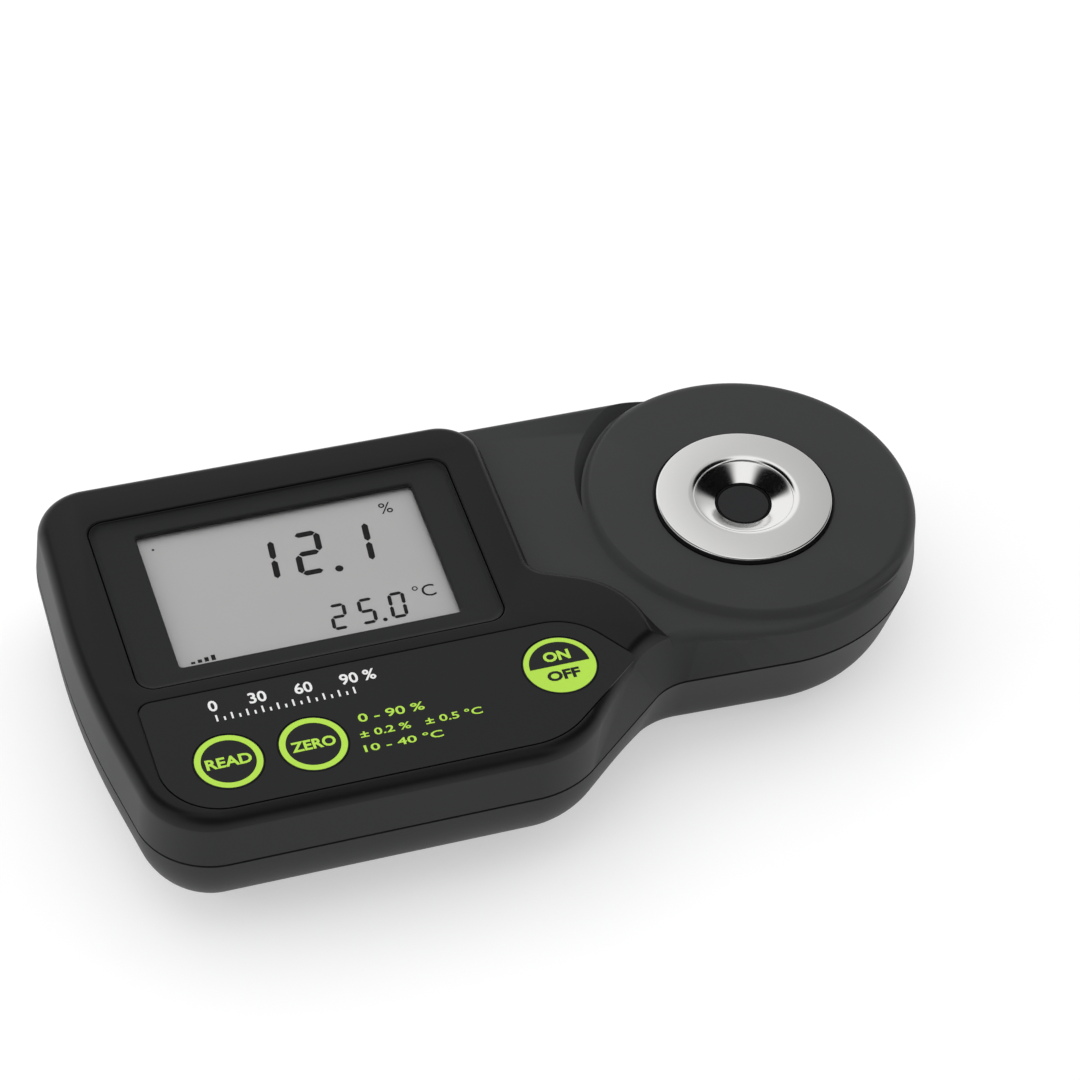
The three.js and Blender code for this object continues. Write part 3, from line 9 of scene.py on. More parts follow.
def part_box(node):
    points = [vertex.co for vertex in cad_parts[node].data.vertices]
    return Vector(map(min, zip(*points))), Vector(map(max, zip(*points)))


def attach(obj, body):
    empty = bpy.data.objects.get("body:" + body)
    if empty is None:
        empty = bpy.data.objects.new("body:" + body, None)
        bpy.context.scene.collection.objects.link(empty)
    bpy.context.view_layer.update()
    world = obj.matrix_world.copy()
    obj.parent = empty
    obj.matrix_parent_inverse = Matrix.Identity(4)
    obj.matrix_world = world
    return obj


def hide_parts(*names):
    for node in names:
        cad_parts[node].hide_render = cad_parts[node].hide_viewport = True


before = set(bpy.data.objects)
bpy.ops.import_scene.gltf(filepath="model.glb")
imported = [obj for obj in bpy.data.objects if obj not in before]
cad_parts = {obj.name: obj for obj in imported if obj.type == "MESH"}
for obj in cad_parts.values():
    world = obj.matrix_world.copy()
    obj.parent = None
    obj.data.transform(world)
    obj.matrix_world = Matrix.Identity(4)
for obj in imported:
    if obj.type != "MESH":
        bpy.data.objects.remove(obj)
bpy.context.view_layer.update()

# Camera: a 150 mm lens about a metre away, looking down at the display end, turned a little to the left
# and rolled a few degrees, as the photograph was taken.
camera_turn = math.radians(-19.711)
camera_elevation = math.radians(46.271)
camera_roll = math.radians(3.304)
camera_distance = 0.9757
camera_aim = Vector((0.0098, 0.0084, 0.036))
camera_lens_mm = 150
camera_sensor_mm = 36
camera_near = 0.05
camera_far = 20


def put_in_scene(name, data):
    made = bpy.data.objects.new(name, data)
    bpy.context.scene.collection.objects.link(made)
    return made


back = Vector((
    math.sin(camera_turn) * math.cos(camera_elevation),
    -math.cos(camera_turn) * math.cos(camera_elevation),
    math.sin(camera_elevation),
))
level_right = (-back).cross(Vector((0, 0, 1))).normalized()
level_up = back.cross(level_right)
camera_right = level_right * math.cos(camera_roll) + level_up * math.sin(camera_roll)
camera_up = level_up * math.cos(camera_roll) - level_right * math.sin(camera_roll)
camera = put_in_scene("camera", bpy.data.cameras.new("camera"))
camera.data.lens = camera_lens_mm
camera.data.sensor_width = camera_sensor_mm
camera.data.clip_start = camera_near
camera.data.clip_end = camera_far
camera.matrix_world = Matrix.Translation(camera_aim + back * camera_distance) @ Matrix(
    (camera_right, camera_up, back)
).transposed().to_4x4()
bpy.context.scene.camera = camera
bpy.context.scene.view_settings.view_transform = "Standard"

# Floor and light: a white sweep under a large soft box, with a weaker one on each side, in a white room.
# The camera, and what mirrors in steel and gloss, sees the sweep brighter than the lamps make it. Instead
# of the lamps, gloss and steel mirror a bright room with a few soft dark panels, sized here in degrees.
floor_size = 12
floor_tone = (0.6, 0.6, 0.605, 1)
floor_roughness = 0.9
floor_specular = 0.1
floor_glow_strength = 0.45
white_light = (1, 1, 1, 1)
room_strength = 0.68
mirrored_strength = 0.95
soft_boxes = {
    "overhead": {"place": (-0.15, 0.25, 1.1), "size": 1.2, "power": 4.2},
    "left": {"place": (-1.2, 0.1, 0.5), "size": 0.8, "power": 4},
    "right": {"place": (1.1, 0.35, 0.7), "size": 0.8, "power": 1.8},
}
dark_panels = {
    "right": {"direction": (0.72, -0.08, 0.69), "reach": 38, "edge": 12, "share_left": 0},
    "left": {"direction": (-0.58, 0.28, 0.76), "reach": 36, "edge": 12, "share_left": 0},
    "front": {"direction": (-0.28, -0.77, 0.57), "reach": 38, "edge": 18, "share_left": 0.1},
    "low_front": {"direction": (0.2, -0.96, 0.18), "reach": 26, "edge": 12, "share_left": 0},
    "back": {"direction": (0.6, 0.5, 0.62), "reach": 34, "edge": 26, "share_left": 0.5},
}


def node_material(name):
    material = bpy.data.materials.new(name)
    material.use_nodes = True
    tree = material.node_tree
    return material, tree, tree.nodes["Principled BSDF"]


def set_inputs(node, inputs):
    """Gives each input of a node a value, or links it to the output that feeds it."""
    for socket, value in inputs.items():
        if isinstance(value, bpy.types.NodeSocket):
            node.id_data.links.new(value, node.inputs[socket])
        else:
            node.inputs[socket].default_value = value


def add_node(tree, kind, inputs, **settings):
    node = tree.nodes.new(kind)
    for setting, value in settings.items():
        setattr(node, setting, value)
    set_inputs(node, inputs)
    return node


def calculated(tree, operation, first, second):
    return add_node(tree, "ShaderNodeMath", {0: first, 1: second}, operation=operation).outputs[0]


def shape_object(name, shape):
    """An object in the scene from a bmesh, which is freed."""
    mesh = bpy.data.meshes.new(name)
    shape.to_mesh(mesh)
    shape.free()
    return put_in_scene(name, mesh)


floor_material, tree, floor_shader = node_material("floor_white")
floor_rays = add_node(tree, "ShaderNodeLightPath", {}).outputs
floor_seen = calculated(tree, "MAXIMUM", floor_rays["Is Camera Ray"], floor_rays["Is Glossy Ray"])
set_inputs(floor_shader, {
    "Base Color": floor_tone,
    "Roughness": floor_roughness,
    "Specular IOR Level": floor_specular,
    "Emission Color": white_light,
    "Emission Strength": calculated(tree, "MULTIPLY", floor_seen, floor_glow_strength),
})
floor_shape = bmesh.new()
bmesh.ops.create_grid(floor_shape, x_segments=1, y_segments=1, size=floor_size / 2)
floor = shape_object("floor", floor_shape)
floor.data.materials.append(floor_material)

for name, box in soft_boxes.items():
    lamp = bpy.data.lights.new(f"soft_box_{name}", "AREA")
    lamp.shape = "SQUARE"
    lamp.size = box["size"]
    lamp.energy = box["power"]
    soft_box = put_in_scene(lamp.name, lamp)
    soft_box.visible_glossy = False
    soft_box.location = box["place"]
    soft_box.rotation_euler = (-soft_box.location).to_track_quat("-Z", "Y").to_euler()

room = bpy.data.worlds.new("studio")
room.use_nodes = True
bpy.context.scene.world = room
tree = room.node_tree
room_direction = add_node(tree, "ShaderNodeTexCoord", {}).outputs["Generated"]
mirrored = mirrored_strength
for name, panel in dark_panels.items():
    panel_direction = Vector(panel["direction"]).normalized()
    facing = add_node(
        tree, "ShaderNodeVectorMath", {0: room_direction, 1: panel_direction}, operation="DOT_PRODUCT"
    )
    shade_inputs = {
        "Value": facing.outputs["Value"],
        "From Min": math.cos(math.radians(panel["reach"])),
        "From Max": math.cos(math.radians(panel["reach"] - panel["edge"])),
        "To Min": 1,
        "To Max": panel["share_left"],
    }
    shade = add_node(
        tree,
        "ShaderNodeMapRange",
        shade_inputs,
        name=f"dark_panel_{name}",
        interpolation_type="SMOOTHSTEP",
    )
    mirrored = calculated(tree, "MULTIPLY", mirrored, shade.outputs["Result"])
room_light = add_node(tree, "ShaderNodeMix", {
    "Factor": add_node(tree, "ShaderNodeLightPath", {}).outputs["Is Glossy Ray"],
    "A": room_strength,
    "B": mirrored,
})
set_inputs(tree.nodes["Background"], {"Color": white_light, "Strength": room_light.outputs["Result"]})

# Lower case: the bottom half of the housing, moulded in dark plastic with a fine spark texture. Its hull
# draws in below the seam, and it carries the battery opening, four screw wells and four foot recesses.
case_length = 0.192
case_width = 0.102
case_height = 0.036
case_left = -case_length / 2
case_front = -case_width / 2
case_back = case_width / 2
case_bottom = 0.0012
seam_height = 0.0224
seam_gap = 0.0006
lower_rim = seam_height - seam_gap / 2
wall = 0.0022
overrun = 0.001
clearance = 0.0003
disc_radius = 0.0387
disc_from_back = 0.041
disc_x = case_length / 2 - disc_radius
disc_y = case_back - disc_from_back
back_left_radius = 0.0125
back_left_set_in = 0.001
bow_radius = 0.2
bow_y = 0.008
front_left_radius = 0.0165
front_left_set_in = 0.0045
front_right_radius = 0.022
front_right_from_left = 0.0875
waist_radius = 0.012
waist_from_disc = 0.0253
waist_from_front = 0.0112
smallest_corner = 0.002
hull_taper = 0.013
hull_bulge = 2.5
stage_taper = 0.011
stage_bulge = 8
hull_steps = 18
cover_neck_radius = 0.029
cover_neck_wall = 0.0016
opening_gap = 0.0004
opening_depth = 0.0025
screw_head_height = 0.0022
screw_radius = 0.0013
screw_boss_radius = 0.0047
disc_steps = 110
back_left_steps = 30
bow_steps = 12
front_left_steps = 34
front_right_steps = 24
waist_steps = 34
round_segments = 128
small_round_segments = 64
crease_angle = math.radians(32)
patch_size = 0.03
patch_detail = 2
grain_detail = 4
housing_specular = 0.25


def circle(x, y, radius, steps, turn=1):
    """A circle of a belt outline: the belt runs outside it, or inside it where turn is -1."""
    return {"x": x, "y": y, "radius": radius, "steps": steps, "turn": turn}


def tangent_angle(start, end):
    gap = Vector((end["x"] - start["x"], end["y"] - start["y"]))
    difference = start["turn"] * start["radius"] - end["turn"] * end["radius"]
    return math.atan2(gap.y, gap.x) - math.acos(difference / gap.length)


def arc_points(ring, start, end):
    full_turn = 2 * math.pi
    sweep = math.fmod(end - start, full_turn)
    if ring["turn"] > 0 and sweep < 0:
        sweep += full_turn
    if ring["turn"] < 0 and sweep > 0:
        sweep -= full_turn
    points = []
    for step in range(ring["steps"] + 1):
        angle = start + sweep * step / ring["steps"]
        reach = ring["turn"] * ring["radius"]
        points.append(Vector((ring["x"] + reach * math.cos(angle), ring["y"] + reach * math.sin(angle))))
    return points


def belt_points(rings):
    """The outline of a belt run anticlockwise round a chain of circles."""
    points = []
    for i, ring in enumerate(rings):
        before = rings[i - 1]
        after = rings[(i + 1) % len(rings)]
        points += arc_points(ring, tangent_angle(before, ring), tangent_angle(ring, after))
    return points


housing_rings = {
    "disc": circle(disc_x, disc_y, disc_radius, disc_steps),
    "back_left": circle(
        case_left + back_left_radius + back_left_set_in,
        case_back - back_left_radius,
        back_left_radius,
        back_left_steps,
    ),
    "bow": circle(case_left + bow_radius, bow_y, bow_radius, bow_steps),
    "front_left": circle(
        case_left + front_left_radius + front_left_set_in,
        case_front + front_left_radius,
        front_left_radius,
        front_left_steps,
    ),
    "front_right": circle(
        case_left + front_right_from_left,
        case_front + front_right_radius,
        front_right_radius,
        front_right_steps,
    ),
    "waist": circle(
        disc_x - waist_from_disc, case_front + waist_from_front, waist_radius, waist_steps, -1
    ),
}
seam_rings = list(housing_rings.values())


def housing_outline(inset, disc_inset=None, waist_inset=None):
    """The housing's plan, drawn in by one amount at the display end, the disc and the waist each."""
    disc_inset = inset if disc_inset is None else disc_inset
    waist_inset = inset if waist_inset is None else waist_inset
    rings = {name: dict(ring) for name, ring in housing_rings.items()}
    for i, (name, ring) in enumerate(rings.items()):
        spare = inset + smallest_corner - ring["radius"]
        if name == "disc":
            ring["radius"] -= disc_inset
        elif name == "waist":
            ring["radius"] += waist_inset
        elif spare > 0:
            before = tangent_angle(seam_rings[i - 1], seam_rings[i])
            after = tangent_angle(seam_rings[i], seam_rings[(i + 1) % len(seam_rings)])
            half = ((after - before) % (2 * math.pi)) / 2
            reach = spare / math.cos(half)
            ring["x"] -= reach * math.cos(before + half)
            ring["y"] -= reach * math.sin(before + half)
            ring["radius"] = smallest_corner
        else:
            ring["radius"] -= inset
    return belt_points(list(rings.values()))


def loft(name, levels):
    """A closed solid through (height, outline) levels with the same number of points, lowest first."""
    shape = bmesh.new()
    place = shape.verts.layers.int.new("place")
    height, outline = levels[0]
    ring = [shape.verts.new((point.x, point.y, height)) for point in outline]
    for i, corner in enumerate(ring):
        corner[place] = i
    cap = shape.faces.new(ring)
    floor_face = cap
    for height, outline in levels[1:]:
        grown = bmesh.ops.extrude_face_region(shape, geom=[cap])["geom"]
        if cap is not floor_face:
            bmesh.ops.delete(shape, geom=[cap], context="FACES_ONLY")
        cap = next(part for part in grown if isinstance(part, bmesh.types.BMFace))
        for corner in cap.verts:
            point = outline[corner[place]]
            corner.co = (point.x, point.y, height)
    return solid_object(name, shape)


def solid_object(name, shape):
    """An object from a bmesh with its faces turned outwards."""
    bmesh.ops.recalc_face_normals(shape, faces=shape.faces)
    return shape_object(name, shape)


def pillar(name, x, y, radius, low, high, segments=small_round_segments):
    shape = bmesh.new()
    bmesh.ops.create_cone(
        shape, cap_ends=True, segments=segments, radius1=radius, radius2=radius, depth=high - low
    )
    bmesh.ops.translate(shape, verts=shape.verts, vec=(x, y, (low + high) / 2))
    return solid_object(name, shape)


def combine(base, operation, *tools):
    """Joins, cuts or intersects base with the tools, which are used up."""
    for tool in tools:
        step = base.modifiers.new("step", "BOOLEAN")
        step.operation = operation
        step.solver = "MANIFOLD"
        step.object = tool
    bpy.context.view_layer.update()
    built = base.evaluated_get(bpy.context.evaluated_depsgraph_get())
    whole = bpy.data.meshes.new_from_object(built)
    base.modifiers.clear()
    base.data = whole
    for tool in tools:
        bpy.data.objects.remove(tool)
    return base


def finish_piece(piece, name, material, body, replaced=()):
    """Names a piece, gives it its material and shading, and fixes it to its body in the frame."""
    piece.name = name
    piece.data.name = name
    piece.data.materials.clear()
    piece.data.materials.append(material)
    piece.data.shade_smooth()
    piece.data.set_sharp_from_angle(angle=crease_angle)
    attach(piece, body)
    if replaced:
        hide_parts(*replaced)


def moulded_texture():
    """Node group: a fine moulded grain as a height, and a slow variation of tone and gloss."""
    group = bpy.data.node_groups.new("moulded_texture", "ShaderNodeTree")
    scales = (("Grain Size", "Height", grain_detail), ("Patch Size", "Patch", patch_detail))
    for size, output, detail in scales:
        group.interface.new_socket(size, in_out="INPUT", socket_type="NodeSocketFloat")
        group.interface.new_socket(output, in_out="OUTPUT", socket_type="NodeSocketFloat")
    entry = add_node(group, "NodeGroupInput", {})
    result = add_node(group, "NodeGroupOutput", {})
    place = add_node(group, "ShaderNodeTexCoord", {}).outputs["Object"]
    for size, output, detail in scales:
        scale = calculated(group, "DIVIDE", 1, entry.outputs[size])
        noise = add_node(group, "ShaderNodeTexNoise", {"Vector": place, "Scale": scale, "Detail": detail})
        set_inputs(result, {output: noise.outputs["Fac"]})
    return group


moulded_group = moulded_texture()


def between(tree, share, low, high):
    """A number that goes from low to high as the share goes from 0 to 1."""
    return add_node(tree, "ShaderNodeMapRange", {"Value": share, "To Min": low, "To Max": high}).outputs[0]


def moulded_finish(
    name,
    color,
    roughness,
    grain_size,
    grain_depth,
    gloss_change=0.06,
    tone_change=0.15,
    specular=0.5,
    metallic=0,
):
    """A material whose colour and roughness vary slowly, with a grain on its surface."""
    material, tree, shader = node_material(name)
    texture = add_node(tree, "ShaderNodeGroup", {}, node_tree=moulded_group)
    set_inputs(texture, {"Grain Size": grain_size, "Patch Size": patch_size})
    patch = texture.outputs["Patch"]
    dark = (*(channel * (1 - tone_change) for channel in color), 1)
    light = (*(channel * (1 + tone_change) for channel in color), 1)
    tone = add_node(tree, "ShaderNodeMix", {}, data_type="RGBA")
    set_inputs(tone, {"Factor": patch, "A": dark, "B": light})
    grain = {"Height": texture.outputs["Height"], "Strength": 1, "Distance": grain_depth}
    set_inputs(shader, {
        "Base Color": tone.outputs["Result"],
        "Roughness": between(tree, patch, roughness - gloss_change, roughness + gloss_change),
        "Normal": add_node(tree, "ShaderNodeBump", grain).outputs["Normal"],
        "Specular IOR Level": specular,
        "Metallic": metallic,
    })
    return material


hull_plastic = moulded_finish(
    "housing_grained",
    (0.027, 0.0275, 0.0275),
    roughness=0.5,
    grain_size=0.0005,
    grain_depth=0.00002,
    specular=housing_specular,
)


def round_place(node):
    """The middle and the radius, in plan, of a round CAD node."""
    low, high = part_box(node)
    return (low.x + high.x) / 2, (low.y + high.y) / 2, (high.y - low.y) / 2


def hull_levels(inwards, low, high):
    levels = []
    depth = lower_rim - case_bottom
    for step in range(hull_steps + 1):
        height = low + (high - low) * step / hull_steps
        share = min(1, max(0, (lower_rim - height) / depth))
        body = hull_taper * share**hull_bulge + inwards
        stage = stage_taper * (share + share**stage_bulge) / 2 + inwards
        levels.append((height, housing_outline(body, stage, stage)))
    return levels


hull_outside = hull_levels(0, case_bottom, lower_rim)
lower_case = loft("lower_shell", hull_outside)
hull_inside = loft("hull_inside", hull_levels(wall, case_bottom + wall, lower_rim + overrun))
cover_x, cover_y, cover_radius = round_place("battery_cover")
below_case = case_bottom - overrun
opening_radius = cover_neck_radius + opening_gap
opening_high = case_bottom + 2 * wall
seat_radius = cover_radius + clearance
seat_high = case_bottom + opening_depth
cover_seat = pillar("cover_seat", cover_x, cover_y, seat_radius, below_case, seat_high, round_segments)
battery_opening = pillar(
    "battery_opening", cover_x, cover_y, opening_radius, case_bottom, opening_high, round_segments
)
screw_bosses = []
hull_holes = [cover_seat, battery_opening]
for i in range(1, 5):
    screw_x, screw_y, head_radius = round_place(f"case_screw_{i}")
    seat_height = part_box(f"case_screw_{i}")[0].z + screw_head_height
    boss = pillar("boss", screw_x, screw_y, screw_boss_radius, case_bottom + wall / 2, lower_rim)
    screw_bosses.append(combine(boss, "INTERSECT", loft("hull_trim", hull_outside)))
    hull_holes += [
        pillar("head_well", screw_x, screw_y, head_radius + clearance, below_case, seat_height),
        pillar("shank_hole", screw_x, screw_y, screw_radius + clearance, case_bottom, lower_rim + overrun),
    ]
    foot_x, foot_y, foot_radius = round_place(f"foot_{i}")
    foot_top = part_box(f"foot_{i}")[1].z
    hull_holes.append(pillar("foot_recess", foot_x, foot_y, foot_radius + clearance, below_case, foot_top))
combine(lower_case, "DIFFERENCE", hull_inside)
combine(lower_case, "UNION", *screw_bosses)
combine(lower_case, "DIFFERENCE", *hull_holes)
finish_piece(lower_case, "lower_shell", hull_plastic, "case", ["lower_case"])

# Case gasket: a thin black rubber cord that lies between the two halves of the housing. It is set back a
# little, so that it reads as a dark line along the seam.
black_rubber = moulded_finish(
    "black_rubber", (0.012, 0.012, 0.012), roughness=0.75, grain_size=0.0004, grain_depth=0.00003
)


def coat(material, *nodes):
    """Gives CAD nodes, which show as they come from the frame, a material."""
    for node in nodes:
        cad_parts[node].data.materials.clear()
        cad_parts[node].data.materials.append(material)


coat(black_rubber, "case_gasket", "battery_cover_seal", "battery_snap")

# Upper case: one moulding with the raised display and key area, a lower neck and the round stage, with a
# shallow trough round it. The raised area is a smoother, darker zone of the same plastic, and the front
# wall takes a share of its gloss and darker tone; that darkening is painted shade on the front wall.
upper_rim = seam_height + seam_gap / 2
wall_draft = 0.0006
edge_roll_width = 0.0027
edge_roll_height = 0.004
neck_drop = 0.0035
neck_height = case_height - neck_drop
neck_roll = 0.0018
waist_scoop = 0.004
deck_drop = 0.0015
deck_height = case_height - deck_drop
deck_roll = 0.0028
roof = 0.0024
under_neck_top = neck_height - 2 * roof
below_roof = neck_height - 3 * roof
roll_steps = 10
blend_height = neck_height - neck_roll - 2 * overrun
plateau_length = 0.1027
plateau_right = case_left + plateau_length
plateau_back_radius = 0.0105
bank_top_share = 0.3
tip_radius = 0.0209
tip_set_in = 0.0007
tip_from_front = 0.0304
tip_x = plateau_right - tip_set_in
tip_y = case_front + tip_from_front
hollow_corner_radius = 0.0035
nose_radius = 0.008
nose_reach = 0.0125
facet_radius = 0.003
facet_reach = 0.0203
step_radius = 0.0379
step_shift = 0.0038
step_angle = math.radians(37)
step_slope_width = 0.0022
step_slope_height = 0.0021
pan_radius = 0.0372
pan_shift = 0.007
pan_shift_angle = math.radians(90)
pan_tilt_angle = math.radians(120)
pan_tilt = math.radians(3.4)
pan_depth = 0.0007
pan_bank_width = 0.006
pan_bank_height = 0.0036
pan_bank_steps = 12
pan_bank_overhang = 0.0006
recess_radius = 0.004
recess_edge = 0.0004
sheet_recess_edge = recess_edge / 2
ledge_thickness = 0.0004
sheet_border = 0.0038
sheet_corner_radius = 0.003
sheet_front_left_radius = 0.013
sheet_shoulder_radius = 0.0136
sheet_shoulder_from_left = 0.0985
sheet_point_radius = 0.0015
sheet_point_from_left = 0.1135
barrel_radius = 0.0145
key_flange_width = 0.001
key_flange_height = 0.0006
key_seat_depth = 0.00125
key_stem_radius = 0.0025
nose_steps = 14
tip_steps = 30
plateau_corner_steps = 20
small_arc_steps = 12
wide_arc_steps = 24
sheet_front_steps = 16
corner_steps = 8
stage_segments = 180
merge_distance = 1e-7
# The front wall's share of the raised area's darker tone is painted shade on that side.
front_shade_start = -0.024
front_shade_full = -0.038
front_shade_share = 0.55
raised_color = (0.004, 0.0041, 0.0041, 1)
raised_roughness = 0.38
raised_grain_share = 0.25


def rolled_edge(high, height, width):
    """Height and inset of an edge that rolls over from a wall to a flat top, as a quarter ellipse."""
    levels = []
    for step in range(roll_steps + 1):
        angle = math.pi / 2 * step / roll_steps
        levels.append((high - height + height * math.sin(angle), width - width * math.cos(angle)))
    return levels


def draft_at(height):
    return wall_draft * (height - upper_rim) / (case_height - edge_roll_height - upper_rim)


def scoop_at(height):
    return waist_scoop * min(1, (height - upper_rim) / (neck_height - upper_rim))


def touching(x, radius, start, end):
    """Centre of a circle at x that touches the straight wall between two circles from inside."""
    angle = tangent_angle(start, end)
    offset = start["x"] * math.cos(angle) + start["y"] * math.sin(angle) + start["turn"] * start["radius"]
    return x, (offset - radius - x * math.cos(angle)) / math.sin(angle)


def plateau_outline(inset, share):
    """Plan of the raised area: share is 0 at the foot of its bank and 1 at its top."""
    front_wall = (housing_rings["front_right"], housing_rings["waist"])
    back_wall = (housing_rings["disc"], housing_rings["back_left"])
    reach = facet_reach + (nose_reach - facet_reach) * share
    corner_radius = facet_radius + (nose_radius - facet_radius) * share
    nose_x, nose_y = touching(plateau_right + reach, corner_radius, *front_wall)
    back_x, back_y = touching(plateau_right - plateau_back_radius, plateau_back_radius, *back_wall)
    nose = circle(nose_x, nose_y, corner_radius - inset, nose_steps)
    tip = circle(tip_x, tip_y, tip_radius - inset, tip_steps)
    hollow = circle(
        plateau_right + hollow_corner_radius,
        tip_y + tip_radius + hollow_corner_radius + wall_draft,
        hollow_corner_radius + inset,
        nose_steps,
        -1,
    )
    corner = circle(back_x, back_y, plateau_back_radius - inset, plateau_corner_steps)
    wall_angle = tangent_angle(*front_wall)
    back_angle = tangent_angle(*back_wall)
    outside = plateau_back_radius
    nose_points = arc_points(nose, wall_angle, tangent_angle(nose, tip))
    corner_points = arc_points(corner, 0, back_angle)
    beyond = nose_points[0] + outside * Vector((math.cos(wall_angle), math.sin(wall_angle)))
    return [
        beyond,
        *nose_points,
        *arc_points(tip, tangent_angle(nose, tip), tangent_angle(tip, hollow)),
        *arc_points(hollow, tangent_angle(tip, hollow), 0),
        *corner_points,
        corner_points[-1] + Vector((-outside, outside)),
        Vector((case_left - outside, case_back + outside)),
        Vector((case_left - outside, case_front - outside)),
        Vector((beyond.x, case_front - outside)),
    ]


def turned(name, x, y, profile, segments=round_segments):
    """A body of revolution about an upright axis at x, y from (radius, height) pairs."""
    shape = bmesh.new()
    corners = [shape.verts.new((radius, 0, height)) for radius, height in profile]
    edges = [shape.edges.new(pair) for pair in zip(corners, corners[1:])]
    if profile[0][0] > 0:
        edges.append(shape.edges.new((corners[-1], corners[0])))
    bmesh.ops.spin(
        shape,
        geom=corners + edges,
        cent=(0, 0, 0),
        axis=(0, 0, 1),
        angle=2 * math.pi,
        steps=segments,
        use_merge=True,
    )
    bmesh.ops.remove_doubles(shape, verts=shape.verts, dist=merge_distance)
    bmesh.ops.translate(shape, verts=shape.verts, vec=(x, y, 0))
    return solid_object(name, shape)


def plateau_body():
    bank_top = case_height - bank_top_share * (case_height - neck_height)
    levels = [(upper_rim, plateau_outline(0, 0))]
    for height, inset in [(neck_height, 0), *rolled_edge(case_height, edge_roll_height, edge_roll_width)]:
        if height < neck_height:
            continue
        share = min(1, max(0, (height - neck_height) / (bank_top - neck_height)))
        levels.append((height, plateau_outline(wall_draft + inset, share)))
    return loft("plateau", levels)


def housing_body():
    levels = [(upper_rim, housing_outline(0))]
    for height, inset in rolled_edge(case_height, edge_roll_height, edge_roll_width):
        drawn = wall_draft + inset
        levels.append((height, housing_outline(drawn, drawn, drawn + scoop_at(height))))
    return loft("housing", levels)


def stage_pan():
    """The trough round the stage, as the tool that cuts it: deepest behind and to the left."""
    profile = [(0, -pan_depth)]
    for step in range(pan_bank_steps + 1):
        share = step / pan_bank_steps
        slope = (1 - math.cos(math.pi * share)) / 2
        reach = pan_radius - pan_bank_width * (1 - share) + pan_bank_overhang * share
        profile.append((reach, -pan_depth + pan_bank_height * slope))
    rim = profile[-1][0]
    profile += [(rim, pan_bank_height * 2), (0, pan_bank_height * 2)]
    pan = turned("pan", 0, 0, profile)
    axis = Vector((math.sin(pan_tilt_angle), -math.cos(pan_tilt_angle), 0))
    pan.data.transform(Matrix.Rotation(-pan_tilt, 4, axis))
    centre = Vector((disc_x, disc_y, neck_height))
    centre += pan_shift * Vector((math.cos(pan_shift_angle), math.sin(pan_shift_angle), 0))
    pan.data.transform(Matrix.Translation(centre))
    return pan


def neck_body():
    levels = [(blend_height, housing_outline(-clearance))]
    for height, inset in rolled_edge(neck_height, neck_roll, neck_roll):
        drawn = draft_at(height) + inset
        levels.append((height, housing_outline(drawn, drawn, drawn + scoop_at(height))))
    return combine(loft("neck", levels), "DIFFERENCE", stage_pan())


def stage_body():
    profile = [(0, blend_height), (disc_radius + clearance, blend_height)]
    for height, inset in rolled_edge(deck_height, deck_roll, deck_roll):
        profile.append((disc_radius - draft_at(height) - inset, height))
    profile.append((0, deck_height))
    step_x = disc_x + step_shift * math.cos(step_angle)
    step_y = disc_y + step_shift * math.sin(step_angle)
    step = [(0, blend_height - overrun), (step_radius, blend_height - overrun)]
    for index in range(roll_steps + 1):
        share = index / roll_steps
        drop = step_slope_height * (1 + math.cos(math.pi * share)) / 2
        step.append((step_radius - step_slope_width * share, deck_height - drop))
    step += [(step_radius - step_slope_width, deck_height + overrun), (0, deck_height + overrun)]
    stage = turned("stage", disc_x, disc_y, profile, stage_segments)
    return combine(stage, "INTERSECT", turned("step", step_x, step_y, step, stage_segments))


def slab(name, outline, low, high):
    return loft(name, [(low, outline), (high, outline)])


def rounded_rectangle(x, y, width, depth, radius):
    right = x + width / 2 - radius
    left = x - width / 2 + radius
    far = y + depth / 2 - radius
    near = y - depth / 2 + radius
    middles = ((right, far), (left, far), (left, near), (right, near))
    return belt_points([circle(*middle, radius, corner_steps) for middle in middles])


def box_plan(node, grow, radius):
    """A CAD node's box in plan, grown on each side, with rounded corners."""
    low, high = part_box(node)
    middle = (low + high) / 2
    size = high - low
    return rounded_rectangle(middle.x, middle.y, size.x + 2 * grow, size.y + 2 * grow, radius)


upper_case = slab("skirt", housing_outline(-overrun), upper_rim - overrun, blend_height + overrun / 2)
combine(upper_case, "UNION", plateau_body(), neck_body(), stage_body())
combine(upper_case, "INTERSECT", housing_body())

bezel_low, bezel_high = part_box("display_bezel")
sheet_low, sheet_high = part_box("keypad_overlay")
well_x, well_y, flange_reach = round_place("sample_well")
gasket_radius = round_place("well_gasket")[2]
gasket_low, gasket_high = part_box("well_gasket")
keys = ("read", "zero", "on_off")


def sheet_outline(inset):
    """Plan of the keypad's label sheet, which runs to a point on the right."""
    front = housing_rings["front_right"]
    point_x = case_left + sheet_point_from_left
    point = touching(point_x, sheet_point_radius + sheet_border, front, housing_rings["waist"])
    return belt_points([
        circle(*point, sheet_point_radius - inset, small_arc_steps),
        circle(
            case_left + sheet_shoulder_from_left,
            sheet_high.y - sheet_shoulder_radius,
            sheet_shoulder_radius - inset,
            wide_arc_steps,
        ),
        circle(
            sheet_low.x + sheet_corner_radius,
            sheet_high.y - sheet_corner_radius,
            sheet_corner_radius - inset,
            small_arc_steps,
        ),
        circle(
            sheet_low.x + sheet_front_left_radius,
            sheet_low.y + sheet_front_left_radius,
            sheet_front_left_radius - inset,
            wide_arc_steps,
        ),
        circle(front["x"], front["y"], front["radius"] - sheet_border - inset, sheet_front_steps),
    ])


